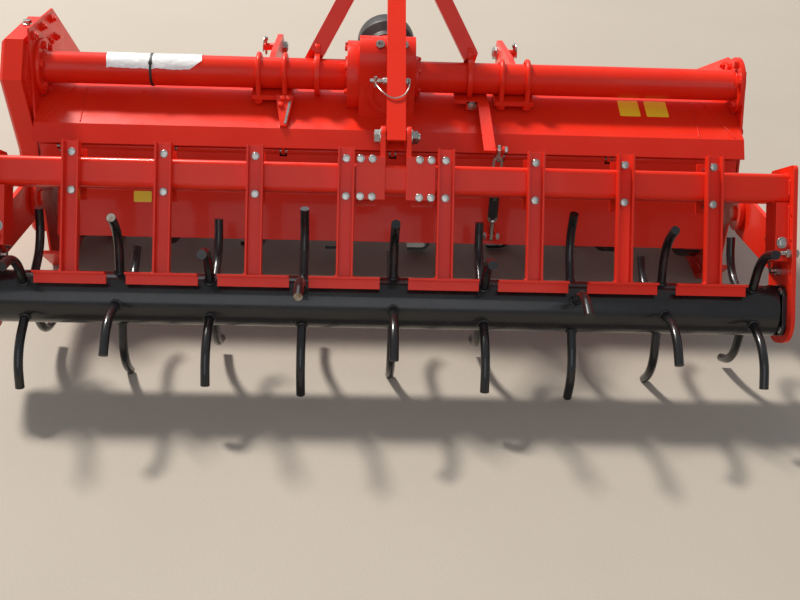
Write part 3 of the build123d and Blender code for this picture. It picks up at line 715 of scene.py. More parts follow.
    def bake(self, name: str, material: bpy.types.Material) -> bpy.types.Object:
        """Turns the mesh into an object of the scene.

        Args:
            name: Name of the object.
            material: Material of its faces.

        Returns:
            The object.
        """
        data = bpy.data.meshes.new(name)
        self.mesh.to_mesh(data)
        self.mesh.free()
        data.materials.append(material)
        return add_object(name, data)

    def finish(
        self, name: str, body: Body, finish: Finish, sharp: float = 35.0
    ) -> bpy.types.Object:
        """Makes the piece's object, dresses it and lets it ride on its body.

        Args:
            name: Name of the piece.
            body: Body that it rides on.
            finish: Finish of its surface.
            sharp: Angle in degrees above which an edge stays sharp.

        Returns:
            The finished object.
        """
        bmesh.ops.recalc_face_normals(self.mesh, faces=self.mesh.faces)
        limit = math.radians(sharp)
        for edge in self.mesh.edges:
            edge.smooth = len(edge.link_faces) == 2 and edge.calc_face_angle(0.0) < limit
        for face in self.mesh.faces:
            face.smooth = True
        made = self.bake(name, finish.material())
        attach(made, body.value)
        LOG.info("%s: %d faces on %s", name, len(made.data.polygons), body.value)
        return made


@dataclass(frozen=True)
class Fastener:
    """A hexagonal bolt with its washer, or the nut on the end of one."""

    flats: float = 19.0
    head: float = 8.0
    washer_r: float = 14.0
    washer_t: float = 2.2
    thread_r: float = 6.0
    thread_out: float = 0.0
    thread_edge: float = 1.0
    washer_edge: float = 0.5
    sunk: Pair = (0.5, 0.3)
    # Share of the flats and height over the head, for each ring of the mark on a plain bolt
    mark: Spots = ((0.36, -0.5), (0.36, 0.25), (0.3, 0.4))

    def add(self, stock: Stock, origin: Vector, out: Vector, turn: float = 0.0) -> None:
        """Adds the fastener to a mesh.

        Args:
            stock: Mesh that takes it.
            origin: Point on the face under the washer, in metres.
            out: Direction out of that face.
            turn: Turn of the hexagon in degrees.
        """
        place = stand(origin, out) @ Matrix.Rotation(math.radians(turn), 4, "Z")
        r, t, edge = self.washer_r, self.washer_t, min(self.washer_edge, self.washer_t / 3)
        if t > 0.0:
            stock.turned(place, [(r, -self.sunk[0]), (r, t - edge), (r - edge, t)], sides=24)
        top = t + self.head
        stock.hexagon(place, self.flats, t - self.sunk[1], top)
        tip = [(self.flats * share, top + over) for share, over in self.mark]
        if self.thread_out > 0.0:
            r, end, edge = self.thread_r, top + self.thread_out, self.thread_edge
            tip = [(r, top - edge), (r, end - edge), (r - edge, end)]
        stock.turned(place, tip, sides=16)

    def row(
        self, stock: Stock, x: float, spots: Iterable[Pair], out: Vector, step: float
    ) -> None:
        """Adds one fastener at each spot of a face that looks across the machine.

        Args:
            stock: Mesh that takes them.
            x: Place of the face across the machine.
            spots: Spots of the fasteners.
            out: Direction out of the face.
            step: Turn from one hexagon to the next, in degrees.
        """
        for n, spot in enumerate(spots):
            self.add(stock, AXES.point(x, *spot), out, step * n)


# Flats, head, radius and thickness of the washer, radius of the thread
M12 = Fastener()
M12_LONG = Fastener(washer_r=0.0, washer_t=0.0, head=12.0, thread_out=13.0)
M12_NUT = Fastener(thread_out=6.0)
M10 = Fastener(16.0, 6.5, 12.0, 2.0, 5.0)
M8 = Fastener(13.0, 5.5, 8.5, 1.6, 4.0)
M16_LONG = Fastener(24.0, 13.0, 0.0, 0.0, 8.0, thread_out=13.0)
M10_NUT = Fastener(16.0, 8.0, 11.0, 2.0, 5.0, thread_out=4.0)
SCRAPER_BOLT = Fastener(16.0, 7.0, 9.6, 1.6, 5.0)
LOW_NUT = Fastener(18.0, 6.5, 11.0, 2.0, 5.0, thread_out=3.0)
RIM_NUT = Fastener(11.0, 6.0, 0.0, 0.0, 3.5, thread_out=1.5)
HUB_BOLT = Fastener(18.0, 7.0, 11.5, 2.0)
EYE_BOLT = Fastener(16.0, 6.0, 9.5, 1.6, 5.0, thread_out=2.0)
BLADE_BOLT = Fastener(19.0, 8.0, 0.0, 0.0, 6.0, thread_out=3.0)
U_BOLT_NUT = Fastener(22.0, 9.0, 13.0, 2.0, 7.0, thread_out=4.0)
HITCH_NUT = Fastener(32.0, 10.0, 22.0, 3.0, 11.3, thread_out=2.0)
PIVOT_BOLT = Fastener(30.0, 13.0, 20.0, 3.0)
PIVOT_NUT = Fastener(30.0, 14.0, 20.0, 3.0, 10.0, thread_out=5.0)
FRAME_PIVOT = Fastener(36.0, 10.0, 26.0, 4.0, 12.0, thread_out=4.0)
FRAME_PIVOT_HEAD = Fastener(36.0, 7.0, 0.0, 0.0)


@dataclass
class Castings:
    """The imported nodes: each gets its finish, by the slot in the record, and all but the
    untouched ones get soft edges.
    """

    edge: float = 0.8
    wide_edges: dict[str, float] = field(default_factory=lambda: {"link_outer": 3.5, "beam": 2.5})
    untouched: tuple[str, ...] = ("roller_tube", "right_chain", "rotor")
    special: dict[str, Finish] = field(
        default_factory=lambda: {"input_shaft": BARE_STEEL, "lock_pin": ZINC, "right_chain": ZINC}
    )
    merge: float = 0.01
    flat_degrees: float = 0.6
    edge_degrees: float = 38.0

    def soften(self, node: bpy.types.Object) -> None:
        """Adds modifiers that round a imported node's sharp edges and leave its mesh as it is.

        Args:
            node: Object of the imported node.
        """
        weld = node.modifiers.new("weld", "WELD")
        weld.merge_threshold = self.merge * MILLIMETRE
        flat = node.modifiers.new("flat", "DECIMATE")
        flat.decimate_type = "DISSOLVE"
        flat.angle_limit = math.radians(self.flat_degrees)
        bevel = node.modifiers.new("edge", "BEVEL")
        bevel.width = self.wide_edges.get(node.name, self.edge) * MILLIMETRE
        bevel.segments = 2
        bevel.limit_method = "ANGLE"
        bevel.angle_limit = math.radians(self.edge_degrees)
        bevel.use_clamp_overlap = True
        bevel.harden_normals = False
        bevel.miter_outer = "MITER_ARC"

    def build(self) -> None:
        """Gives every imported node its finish."""
        finishes = {finish.slot.value: finish for finish in (PAINT, BLACK, ZINC, PLASTIC)}
        slots = {row["node"]: row["material_slot"] for row in frame["record"]["subparts"]}
        for name, node in frame["nodes"].items():
            finish = self.special.get(name, finishes[slots[name]])
            if not node.material_slots:
                node.data.materials.append(finish.material())
            for place in node.material_slots:
                place.material = finish.material()
            if name not in self.untouched:
                self.soften(node)
            LOG.info("%s: %s", name, finish.name)


@dataclass
class RollerFrameDetails:
    """Bolts, clamp bars and welds of the leaning roller frame, across and up its lean."""

    rear_face: float = -64.0
    front_face: float = 6.0
    beam_top: float = 333.0
    beam_bottom: float = 263.0
    inner_x: float = 957.0
    cheek_outer_x: float = 967.0
    post_width: float = 32.0
    scraper_web: float = 5.0
    scraper_foot: float = 61.0
    bar_width: float = 40.0
    bar_x: tuple[float, ...] = (-767.0, -551.0, -335.0, -119.0, 119.0, 335.0, 551.0, 767.0)
    bolt_over: float = 10.0
    bolt_r: float = 5.0
    pad_t: float = 8.0
    pad_bolts_x: tuple[float, ...] = (-85.0, -57.0, 56.0, 84.0)
    # Middle and width of the bars at the clevis pads
    pad_bars: Spots = ((-69.0, 52.0), (67.0, 52.0))
    clamp_t: float = 8.0
    clamp_over: float = 34.0
    clamp_width: float = 36.0
    clamp_edge: float = 1.2
    bearing_half: float = 46.0
    bearing_inner_x: float = 946.0
    bearing_head: Spots = ((10.0, -1.0), (10.0, 1.2), (8.6, 2.6), (5.0, 3.5))
    post_bolt_up: float = 165.0
    arm_bolts: Spots = ((-76.0, 139.0), (-12.0, 99.0))
    cheek_bolts: Spots = ((28.0, 126.0), (28.0, 180.0))
    cheek_bolt_in: float = 12.0
    post_seam: Pair = (128.0, 255.0)
    bar_bead: float = 2.6
    beam_bead: float = 3.2
    post_bead: float = 2.8
    lug_bead: float = 3.0
    lug_faces: Pair = (-38.6, 36.6)
    nipple: Spots = ((4.0, -2.0), (4.0, 4.0), (2.4, 5.0), (2.4, 8.0), (3.2, 9.0), (2.6, 12.0))
    nipple_x: float = 973.0
    nipple_up: float = 35.0

    @property
    def bolt_heights(self) -> Pair:
        """Heights of the clamp bolts, just clear of the beam."""
        return self.beam_bottom - self.bolt_over, self.beam_top + self.bolt_over

    def clamp_bars(self) -> None:
        """Makes the flat bars in front of the beam that the clamp bolts pull up."""
        stock = Stock()
        low, high = self.bolt_heights
        spans = [(x, self.clamp_width) for x in self.bar_x]
        for x, width in (*spans, *self.pad_bars):
            foot = AXES.leaning(x, self.front_face, (low + high) / 2)
            place = stand(foot, AXES.lean_across, AXES.lean_up)
            length = high - low + self.clamp_over
            stock.box(place, (length, width, self.clamp_t), self.clamp_edge)
        stock.finish("clamp_bars", Body.FRAME, PAINT)

    def clamp_bolts(self) -> None:
        """Makes the bolts that clamp the scrapers and the clevis pads round the beam."""
        stock = Stock()
        ahead = AXES.lean_across
        front = self.front_face + self.clamp_t
        faces = [(x, self.rear_face - self.scraper_web) for x in self.bar_x]
        faces += [(x, self.rear_face - self.pad_t) for x in self.pad_bolts_x]
        for n, (x, across) in enumerate(faces):
            for k, up in enumerate(self.bolt_heights):
                turn = 23.0 * n + 11.0 * k
                head = AXES.leaning(x, across, up)
                SCRAPER_BOLT.add(stock, head, -ahead, turn)
                shank = [(self.bolt_r, 0.0), (self.bolt_r, front - across)]
                stock.turned(stand(head, ahead), shank, sides=16)
                M10_NUT.add(stock, AXES.leaning(x, front, up), ahead, turn)
        stock.finish("clamp_bolts", Body.FRAME, ZINC)

    def bearing_bolts(self) -> None:
        """Makes the bolts of the roller's bearings, with low heads beside the roller."""
        stock = Stock()
        half = (-self.bearing_half, self.bearing_half)
        for hand, across, up in product(HANDS, half, half):
            out = RIGHT * hand
            inner = AXES.leaning(hand * self.bearing_inner_x, across, up)
            stock.turned(stand(inner, -out), self.bearing_head, sides=24)
            outer = AXES.leaning(hand * self.cheek_outer_x, across, up)
            LOW_NUT.add(stock, outer, out, 31.0 * hand + across + 0.4 * up)
        stock.finish("bearing_bolts", Body.FRAME, ZINC)

    def post_bolts(self) -> None:
        """Makes the bolts that join the posts, the arms and the roller's side plates."""
        stock = Stock()
        for hand in HANDS:
            out = RIGHT * hand
            inner, outer = hand * self.inner_x, hand * self.cheek_outer_x
            post_x = inner - hand * self.post_width / 2
            post = AXES.leaning(post_x, self.rear_face, self.post_bolt_up)
            M12.add(stock, post, -AXES.lean_across, 8.0)
            for n, spot in enumerate(self.arm_bolts):
                kind = M16_LONG if n else M12_LONG
                kind.add(stock, AXES.leaning(inner, *spot), -out, 17.0 * n)
                LOW_NUT.add(stock, AXES.leaning(outer, *spot), out, 11.0)
            for n, spot in enumerate(self.cheek_bolts):
                head = AXES.leaning(inner - hand * self.cheek_bolt_in, *spot)
                LOW_NUT.add(stock, AXES.leaning(outer, *spot), out, 25.0 * n)
                M12.add(stock, head, -out, 13.0 * n)
        stock.finish("post_bolts", Body.FRAME, ZINC)

    def welds(self) -> None:
        """Lays the weld beads of the frame, some of them short of both ends of their edge."""
        rear, front, low, top = self.rear_face, self.front_face, self.beam_bottom, self.beam_top
        foot = self.scraper_foot + 1.0
        runs = []
        for x, side in product(self.bar_x, HANDS):
            edge = x + side * (self.bar_width / 2 + 1.0)
            runs.append((edge, (rear - 4.0, foot), (rear - 24.0, foot), self.bar_bead, 0.0))
        for hand in HANDS:
            x = hand * (self.inner_x - 1.0)
            corners = ((rear, low), (rear, top), (front, top), (front, low))
            for start, end in zip(corners, corners[1:]):
                runs.append((x, start, end, self.beam_bead, 0.2))
            start, end = (rear + 10.0, low - 1.0), (front - 10.0, low - 1.0)
            runs.append((x - hand * self.post_width, start, end, self.beam_bead, 0.0))
            start, end = ((rear - 1.0, up) for up in self.post_seam)
            runs.append((x, start, end, self.post_bead, 0.0))
        for x in self.lug_faces:
            start, end = (rear + 2.0, top + 0.5), (front - 14.0, top + 0.5)
            runs.append((x, start, end, self.lug_bead, 0.0))
        stock = Stock()
        for x, start, end, radius, trim in runs:
            first, last = AXES.leaning(x, *start), AXES.leaning(x, *end)
            stock.seam(first.lerp(last, trim), first.lerp(last, 1.0 - trim), radius)
        stock.finish("frame_welds", Body.FRAME, PAINT, sharp=WELD_SHARP)

    def grease_points(self) -> None:
        """Makes the grease nipples of the roller's bearings."""
        stock = Stock()
        for hand in HANDS:
            foot = AXES.leaning(hand * self.nipple_x, 0.0, self.nipple_up)
            stock.turned(stand(foot, AXES.lean_up), self.nipple, sides=16)
        stock.finish("grease_nipples", Body.FRAME, ZINC)

    def build(self) -> None:
        """Makes every part of the roller frame's hardware."""
        self.clamp_bars()
        self.clamp_bolts()
        self.bearing_bolts()
        self.post_bolts()
        self.welds()
        self.grease_points()


@dataclass
class RollerDetails:
    """Welds, end rings and bare tips of the spiked roller."""

    tube_r: float = 63.5
    collar_x: float = 937.0
    collar: Spots = ((30.0, -0.5), (30.0, 2.4), (28.5, 3.6))
    spike_r: float = 11.0
    shank: float = 108.0
    bend_r: float = 110.0
    bend: float = math.radians(55.0)
    toe: float = 30.0
    pitch: float = 220.0
    spikes_round: int = 4
    turns: tuple[float, ...] = (38.0, 0.0, 28.0, 52.0, 0.0, 31.0, 60.0, 0.0, 20.0)
    bare: tuple[int, ...] = (2, 5, 13, 22, 26, 32, 35)
    weld_steps: int = 30
    spike_weld_r: float = 12.5
    spike_weld_out: float = 0.6
    spike_bead: float = 3.4
    spike_lumps: float = 0.2
    bare_disc: Spots = ((10.6, -0.2), (10.3, 0.15))
    # Radius of each weld ring at the tube's ends, and of its bead
    end_beads: Spots = ((55.5, 3.0), (31.0, 2.2))

    def reach(self, over: float) -> Pair:
        """Gives the end of a spike's line, along and across its shank.

        Args:
            over: Distance of the line from the spike's middle, out of the bend.

        Returns:
            The two lengths.
        """
        sine, cosine = math.sin(self.bend), math.cos(self.bend)
        outer = self.bend_r + over
        return (
            self.shank + outer * sine + self.toe * cosine,
            self.bend_r - outer * cosine + self.toe * sine,
        )

    def spikes(self) -> Iterable[tuple[int, Vector, Vector, Vector]]:
        """Goes through the spikes, station by station.

        Returns:
            Each one's number, its root on the roller's axis, and its directions out and across.
        """
        along, across = self.reach(self.spike_r)
        lead = math.degrees(math.atan2(across, along))
        number = 0
        for station, turn in enumerate(self.turns):
            x = (station - (len(self.turns) - 1) / 2) * self.pitch
            root = AXES.point(x, 0.0, AXES.roller_z)
            for cosine, sine in circle(self.spikes_round, turn - lead):
                yield number, root, Vector((0.0, cosine, sine)), Vector((0.0, -sine, cosine))
                number += 1

    def welds(self) -> None:
        """Lays a bead round the root of every spike, on the round of the tube."""
        stock = Stock()
        for _, root, out, across in self.spikes():
            points = []
            for cosine, sine in circle(self.weld_steps):
                offset = self.spike_weld_r * sine
                height = math.sqrt(self.tube_r**2 - offset**2) + self.spike_weld_out
                aside = RIGHT * (self.spike_weld_r * cosine)
                shift = aside + across * offset + out * height
                points.append(root + shift * MILLIMETRE)
            stock.rod(points, self.spike_bead, BEAD_SIDES, closed=True, lumps=self.spike_lumps)
        stock.finish("spike_welds", Body.ROLLER, BLACK, sharp=WELD_SHARP)

    def tips(self) -> None:
        """Makes the chamfered ends of the spikes whose cut faces are bare."""
        stock = Stock()
        along, aside = self.reach(0.0)
        for number, root, out, across in self.spikes():
            if number in self.bare:
                end = root + (out * along + across * aside) * MILLIMETRE
                ahead = out * math.cos(self.bend) + across * math.sin(self.bend)
                stock.turned(stand(end, ahead), self.bare_disc, sides=28)
        stock.finish("bare_spike_ends", Body.ROLLER, WORN_STEEL)

    def ends(self) -> None:
        """Makes the collars on the tube's ends and their welds."""
        collars, welds = Stock(), Stock()
        for hand in HANDS:
            place = seat(hand * self.collar_x, 0.0, AXES.roller_z, RIGHT * hand)
            collars.turned(place, self.collar, sides=36)
            for round_r, bead in self.end_beads:
                welds.weld_ring(place, round_r, bead)
        collars.finish("stub_collars", Body.ROLLER, BLACK)
        welds.finish("roller_end_welds", Body.ROLLER, BLACK, sharp=WELD_SHARP)

    def build(self) -> None:
        """Makes the roller's own details."""
        self.welds()
        self.tips()
        self.ends()


@dataclass
class LinkDetails:
    """Bolts, bail and handle of the telescopic link, along it from its foot and above it."""

    middle_x: float = -1.0
    lug_out: float = 37.0
    head_along: float = 659.56
    pin_along: float = 160.0
    neck_out: float = 27.0
    stop_at: Point = (-51.0, 5.0, 10.0)
    bail_out: float = 31.0
    wire_r: float = 1.9
    # Share of bail_out across the link, way along it and height above it
    bail_route: tuple[Point, ...] = (
        (1.0, 160.0, 2.0),
        (1.06, 146.0, 12.0),
        (0.97, 126.0, 22.0),
        (0.72, 107.0, 26.5),
        (0.32, 97.0, 27.0),
        (-0.1, 93.0, 27.0),
        (-0.5, 96.0, 27.0),
        (-0.9, 105.0, 26.5),
        (-1.28, 120.0, 22.0),
        (-1.55, 138.0, 13.0),
        (-1.64, 152.0, 4.0),
    )
    coil_r: float = 6.0
    coil_at: Pair = (-2.0, 3.0)
    coil_wire_r: float = 1.8
    coil_advance: float = 0.12
    coil_steps: int = 33
    coil_steps_round: int = 16
    ferrule: Spots = ((8.9, 0.0), (8.9, 2.5), (8.2, 3.0))
    handle: Spots = ((5.2, 0.0), (5.2, 37.0), (4.0, 38.5))
    stop: Spots = ((4.6, 0.0), (4.6, 25.0), (3.4, 27.0))

    def pivots(self) -> None:
        """Makes the bolts through the link's foot and head."""
        ends = (
            ("link_foot_bolt", Body.FRAME, 0.0, 12.0),
            ("link_head_bolt", Body.TILLER, self.head_along, 40.0),
        )
        for name, body, along, turn in ends:
            stock = Stock()
            for hand, kind in zip(HANDS, (PIVOT_BOLT, PIVOT_NUT)):
                spot = AXES.linked(self.middle_x + hand * self.lug_out, along, 0.0)
                kind.add(stock, spot, RIGHT * hand, turn)
            stock.finish(name, body, ZINC)

    def bail(self) -> None:
        """Bends the spring wire that keeps the lock pin in, over the link."""
        stock = Stock()
        middle, reach, pin = self.middle_x, self.bail_out, self.pin_along
        route = [AXES.linked(middle + x * reach, along, up) for x, along, up in self.bail_route]
        stock.rod(smooth(route, 6), self.wire_r)
        for hand in HANDS:
            neck = AXES.linked(middle + hand * self.neck_out, pin, 0.0)
            place = stand(neck, RIGHT * hand)
            stock.turned(place, self.ferrule, sides=24)
        coil = []
        for n in range(self.coil_steps):
            angle = 2 * math.pi * n / self.coil_steps_round
            along = pin + self.coil_at[0] + self.coil_r * math.cos(angle)
            above = self.coil_at[1] + self.coil_r * math.sin(angle)
            coil.append(AXES.linked(middle + reach + self.coil_advance * n, along, above))
        stock.rod(coil, self.coil_wire_r)
        neck = AXES.linked(middle - self.neck_out, pin, 0.0)
        stock.turned(stand(neck, -RIGHT), self.handle, sides=20)
        across, along, above = self.stop_at
        stop = AXES.linked(middle + across, pin + along, above)
        stock.turned(stand(stop, -UP), self.stop, sides=16)
        stock.finish("lock_pin_bail", Body.LINK_OUTER, ZINC)

    def build(self) -> None:
        """Makes the link's hardware."""
        self.pivots()
        self.bail()


@dataclass
class GearboxDetails:
    """Housing, covers, screws and ribs of the centre gearbox, and its coupling."""

    rear: float = 497.0
    boss_rear: float = 491.0
    front: float = 690.0
    top: float = 705.0
    bottom: float = 500.0
    left: float = -92.8
    right: float = 54.8
    skin_t: float = 0.6
    shoulder_r: float = 64.0
    shoulder_steps: int = 16
    front_outline: Spots = (
        (563.0, 704.6), (567.0, 702.4),
        (684.0, 625.5), (690.0, 618.0), (690.0, 500.0),
    )
    ring_x: float = -15.0
    ring_z: float = 572.0
    ring: Spots = ((62.0, -1.0), (62.0, 5.2), (61.0, 6.0))
    nose_x: float = -18.0
    nose_z: float = 590.0
    nose: Spots = ((55.0, 0.0), (55.0, 56.5), (53.5, 58.0), (18.2, 58.0), (18.2, 38.0))
    nose_sunk: float = 3.0
    cover: Spots = (
        (54.0, -1.0), (54.0, 6.0), (51.5, 8.0), (42.0, 8.0),
        (39.0, 2.0), (36.0, 1.0), (9.0, 1.6), (8.0, 3.0),
    )
    screw_turn: float = math.radians(55.0)
    screws_x: Pair = (-39.0, 23.0)
    screw: Spots = ((12.0, -2.0), (12.0, 6.6), (10.9, 7.8), (5.6, 7.8), (5.4, 2.0))
    breather_at: Point = (8.0, 600.0, 679.0)
    breather_hex: Point = (22.0, -0.5, 6.0)
    breather: Spots = ((6.0, 5.0), (6.0, 12.0), (9.0, 13.0), (9.0, 18.0), (7.5, 20.0))
    hood_top: float = 527.0
    # Face across the machine and the side it looks to, then kind, circle, number and first angle
    rims: tuple[tuple[float, float, Fastener, float, int, float], ...] = (
        (-125.0, -1.0, M8, 82.0, 8, 10.0),
        (-108.5, 1.0, RIM_NUT, 85.0, 8, 10.0),
        (66.0, 1.0, RIM_NUT, 48.0, 6, 20.0),
    )
    # Place across the machine and the side each ring looks to
    tube_welds: Spots = ((-125.5, -1.0), (-931.5, 1.0), (931.5, -1.0))
    tube_weld_r: float = 42.5
    tube_bead: float = 3.4
    rib_degrees: tuple[float, ...] = (15.0, 165.0, 225.0, 315.0)
    rib_corners: Spots = ((52.0, 0.0), (72.0, 0.0), (54.5, 34.0), (52.0, 34.0))
    rib_half: float = 4.0
    rib_edge: float = 1.2
    housing_edge: float = 2.0

    def housing(self) -> None:
        """Makes the cast housing, whose top falls away in front of the rounded shoulder."""
        rear, r = self.rear - self.skin_t, self.shoulder_r
        outline = [(rear, self.bottom)]
        for n in range(self.shoulder_steps + 1):
            angle = math.pi / 2 * n / self.shoulder_steps
            y = rear + r - r * math.cos(angle)
            outline.append((y, self.top - r + r * math.sin(angle)))
        face = [AXES.point(self.left, y, z) for y, z in (*outline, *self.front_outline)]
        stock = Stock()
        across = RIGHT * (self.right - self.left) * MILLIMETRE
        stock.prism(face, across, self.housing_edge)
        stock.turned(seat(self.ring_x, self.rear, self.ring_z, -AHEAD), self.ring, sides=64)
        foot = self.front - self.nose_sunk
        stock.turned(seat(self.nose_x, foot, self.nose_z, AHEAD), self.nose, sides=64)
        made = stock.finish("gearbox_housing", Body.TILLER, PAINT)
        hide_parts("gearbox")

    def rear_cover(self) -> None:
        """Makes the recessed bearing cover on the boss of the rear face."""
        stock = Stock()
        stock.turned(seat(self.ring_x, self.boss_rear, self.ring_z, -AHEAD), self.cover, sides=56)
        stock.finish("gearbox_rear_cover", Body.TILLER, PAINT)

    def screws(self) -> None:
        """Makes the socket screws on the rounded shoulder and the breather on the top."""
        stock = Stock()
        cosine, sine = math.cos(self.screw_turn), math.sin(self.screw_turn)
        y = self.rear + self.shoulder_r * (1 - cosine)
        z = self.top - self.shoulder_r * (1 - sine)
        for x in self.screws_x:
            stock.turned(seat(x, y, z, Vector((0.0, -cosine, sine))), self.screw, sides=28)
        stock.finish("gearbox_screws", Body.TILLER, ZINC)
        breather = Stock()
        place = seat(*self.breather_at, UP)
        breather.hexagon(place, *self.breather_hex)
        breather.turned(place, self.breather, sides=24)
        breather.finish("gearbox_breather", Body.TILLER, BARE_STEEL)

    def coupling(self) -> None:
        """Makes the bolts round the tubes' axis that are clear of the hood, and the welds."""
        stock = Stock()
        for x, hand, kind, radius, count, first in self.rims:
            for n, (y, z) in enumerate(rim(TUBE_AXIS, radius, count, first)):
                if z > self.hood_top + kind.washer_r:
                    kind.add(stock, AXES.point(x, y, z), RIGHT * hand, 15.0 * n)
        stock.finish("coupling_bolts", Body.TILLER, PAINT)
        welds = Stock()
        for x, hand in self.tube_welds:
            place = seat(x, *TUBE_AXIS, RIGHT * hand)
            welds.weld_ring(place, self.tube_weld_r, self.tube_bead)
        welds.finish("tube_welds", Body.TILLER, PAINT, sharp=WELD_SHARP)

    def ribs(self) -> None:
        """Makes the ribs between the housing's front and its nose."""
        stock = Stock()
        centre = AXES.point(self.nose_x, self.front - 1.0, self.nose_z)
        for degrees in self.rib_degrees:
            turn = math.radians(degrees)
            out = Vector((math.cos(turn), 0.0, math.sin(turn)))
            side = Vector((-math.sin(turn), 0.0, math.cos(turn))) * self.rib_half * MILLIMETRE
            corners = [
                centre + (out * far + AHEAD * ahead) * MILLIMETRE - side
                for far, ahead in self.rib_corners
            ]
            stock.prism(corners, side * 2, self.rib_edge)
        stock.finish("gearbox_ribs", Body.TILLER, PAINT)

    def build(self) -> None:
        """Makes the gearbox's housing, covers and screws."""
        self.housing()
        self.rear_cover()
        self.screws()
        self.coupling()
        self.ribs()


@dataclass
class SideDetails:
    """Bolts, plugs and seams of both ends of the machine."""

    plate_inner_x: float = 944.0
    plate_outer_x: float = 950.0
    case_outer_x: float = 1015.0
    flange_x: float = 932.0
    hub_outer_x: float = 974.0
    flange_bolts_r: float = 61.0
    left_spots: Spots = (
        (730.0, 664.0), (635.0, 676.0), (546.0, 684.0),
        (679.0, 618.0), (748.0, 606.0),
    )
    right_spot: Pair = (713.0, 590.0)
    hood_spots: Spots = (
        (505.0, 482.0), (600.0, 505.0), (700.0, 505.0),
        (800.0, 468.0), (900.0, 428.0), (985.0, 345.0),
    )
    guard_spots: Spots = ((1085.0, 340.0), (1085.0, 180.0))
    case_rim: Spots = (
        (460.0, 598.0), (518.0, 668.0), (620.0, 659.0), (722.0, 648.0),
        (775.0, 578.0), (812.0, 490.0), (848.0, 405.0), (882.0, 322.0),
        (879.0, 200.0), (840.0, 150.0), (790.0, 101.0), (700.0, 96.0), (630.0, 92.0),
        (522.0, 136.0), (500.0, 193.0), (509.0, 285.0), (518.0, 378.0), (488.0, 490.0),
    )
    cover_share: Pair = (0.93, 0.95)
    screws_share: Pair = (0.88, 0.915)
    cover_t: float = 2.2
    cover_edge: float = 0.5
    # Spot and radius of each cover
    bearing_covers: tuple[Point, ...] = ((*ROTOR_AXIS, 62.0), (606.0, 566.0, 50.0))
    screw: Spots = ((7.0, -0.4), (7.0, 1.2), (6.2, 1.9), (3.4, 1.9), (3.2, 0.6))
    plug_at: Point = (-985.0, 651.0, 676.0)
    plug_out: Point = (0.0, 0.095, 1.0)
    plug: Spots = ((15.0, -3.0), (15.0, 3.0), (13.5, 4.0))
    plug_hex: Point = (20.0, 3.5, 12.5)
    hub_cap: Spots = ((40.0, 0.0), (40.0, 3.0), (37.5, 5.0), (14.0, 5.6))
    hub_flange: Spots = ((88.0, 0.0), (88.0, 7.5), (86.5, 9.0), (60.0, 9.0))
    hub_bolts_r: float = 75.0
    skid_seam: Spots = ((524.0, 10.5), (1016.0, 10.5))
    skid_bead: float = 3.0
    stitches: int = 5
    stitch: Pair = (0.02, 0.12)
    ear_seam: Spots = ((486.0, 272.0), (486.0, 350.0))
    ear_bead: float = 3.2
    pivot: Pair = (355.0, 311.0)
    pivot_outer_x: float = 957.0
    pivot_inner_x: float = 930.0

    def plate_bolts(self) -> None:
        """Makes the painted bolts of both side plates and of the tubes' end flanges."""
        stock = Stock()
        M12_NUT.row(stock, -self.plate_inner_x, self.left_spots, RIGHT, 19.0)
        M12_NUT.add(stock, AXES.point(self.plate_inner_x, *self.right_spot), -RIGHT, 9.0)
        flange = rim(TUBE_AXIS, self.flange_bolts_r, 6, 31.0)
        for hand in HANDS:
            out = RIGHT * hand
            M12.row(stock, hand * self.flange_x, flange, -out, 25.0)
            spots = self.guard_spots + (self.hood_spots if hand > 0 else self.hood_spots[-2:])
            M10.row(stock, hand * self.plate_outer_x, spots, out, 25.0)
        stock.finish("plate_bolts", Body.TILLER, PAINT)

    def shrunk_rim(self, along: float, up: float) -> list[Pair]:
        """Gives the gear case's outline drawn in towards its middle.

        Args:
            along: Share of its length that is left.
            up: Share of its height that is left.

        Returns:
            The spots in order.
        """
        count = len(self.case_rim)
        middle_y = sum(y for y, _ in self.case_rim) / count
        middle_z = sum(z for _, z in self.case_rim) / count
        return [
            (middle_y + (y - middle_y) * along, middle_z + (z - middle_z) * up)
            for y, z in self.case_rim
        ]

    def case_cover(self) -> None:
        """Makes the low cover of the gear case, its flush screws and its bearing covers."""
        cover = Stock()
        foot_x = 1.0 - self.case_outer_x
        outline = [AXES.point(foot_x, *spot) for spot in self.shrunk_rim(*self.cover_share)]
        cover.prism(outline, -RIGHT * self.cover_t * MILLIMETRE, self.cover_edge)
        for y, z, r in self.bearing_covers:
            low_disc = [(r, 0.0), (r, 1.9), (r - 1.0, 2.6), (r - 12.0, 2.6), (r - 13.5, 1.6)]
            place = seat(-self.case_outer_x, y, z, -RIGHT)
            cover.turned(place, [*low_disc, (6.0, 1.4)], sides=56)
        cover.finish("case_cover", Body.TILLER, PAINT)
        screws = Stock()
        for spot in self.shrunk_rim(*self.screws_share):
            place = seat(-self.case_outer_x - 1.0, *spot, -RIGHT)
            screws.turned(place, self.screw, sides=20)
        screws.finish("case_screws", Body.TILLER, ZINC)

    def case_plug(self) -> None:
        """Makes the filler plug on top of the gear case."""
        stock = Stock()
        place = seat(*self.plug_at, Vector(self.plug_out))
        stock.turned(place, self.plug, sides=28)
        stock.hexagon(place, *self.plug_hex)
        stock.finish("case_plug", Body.TILLER, ZINC)

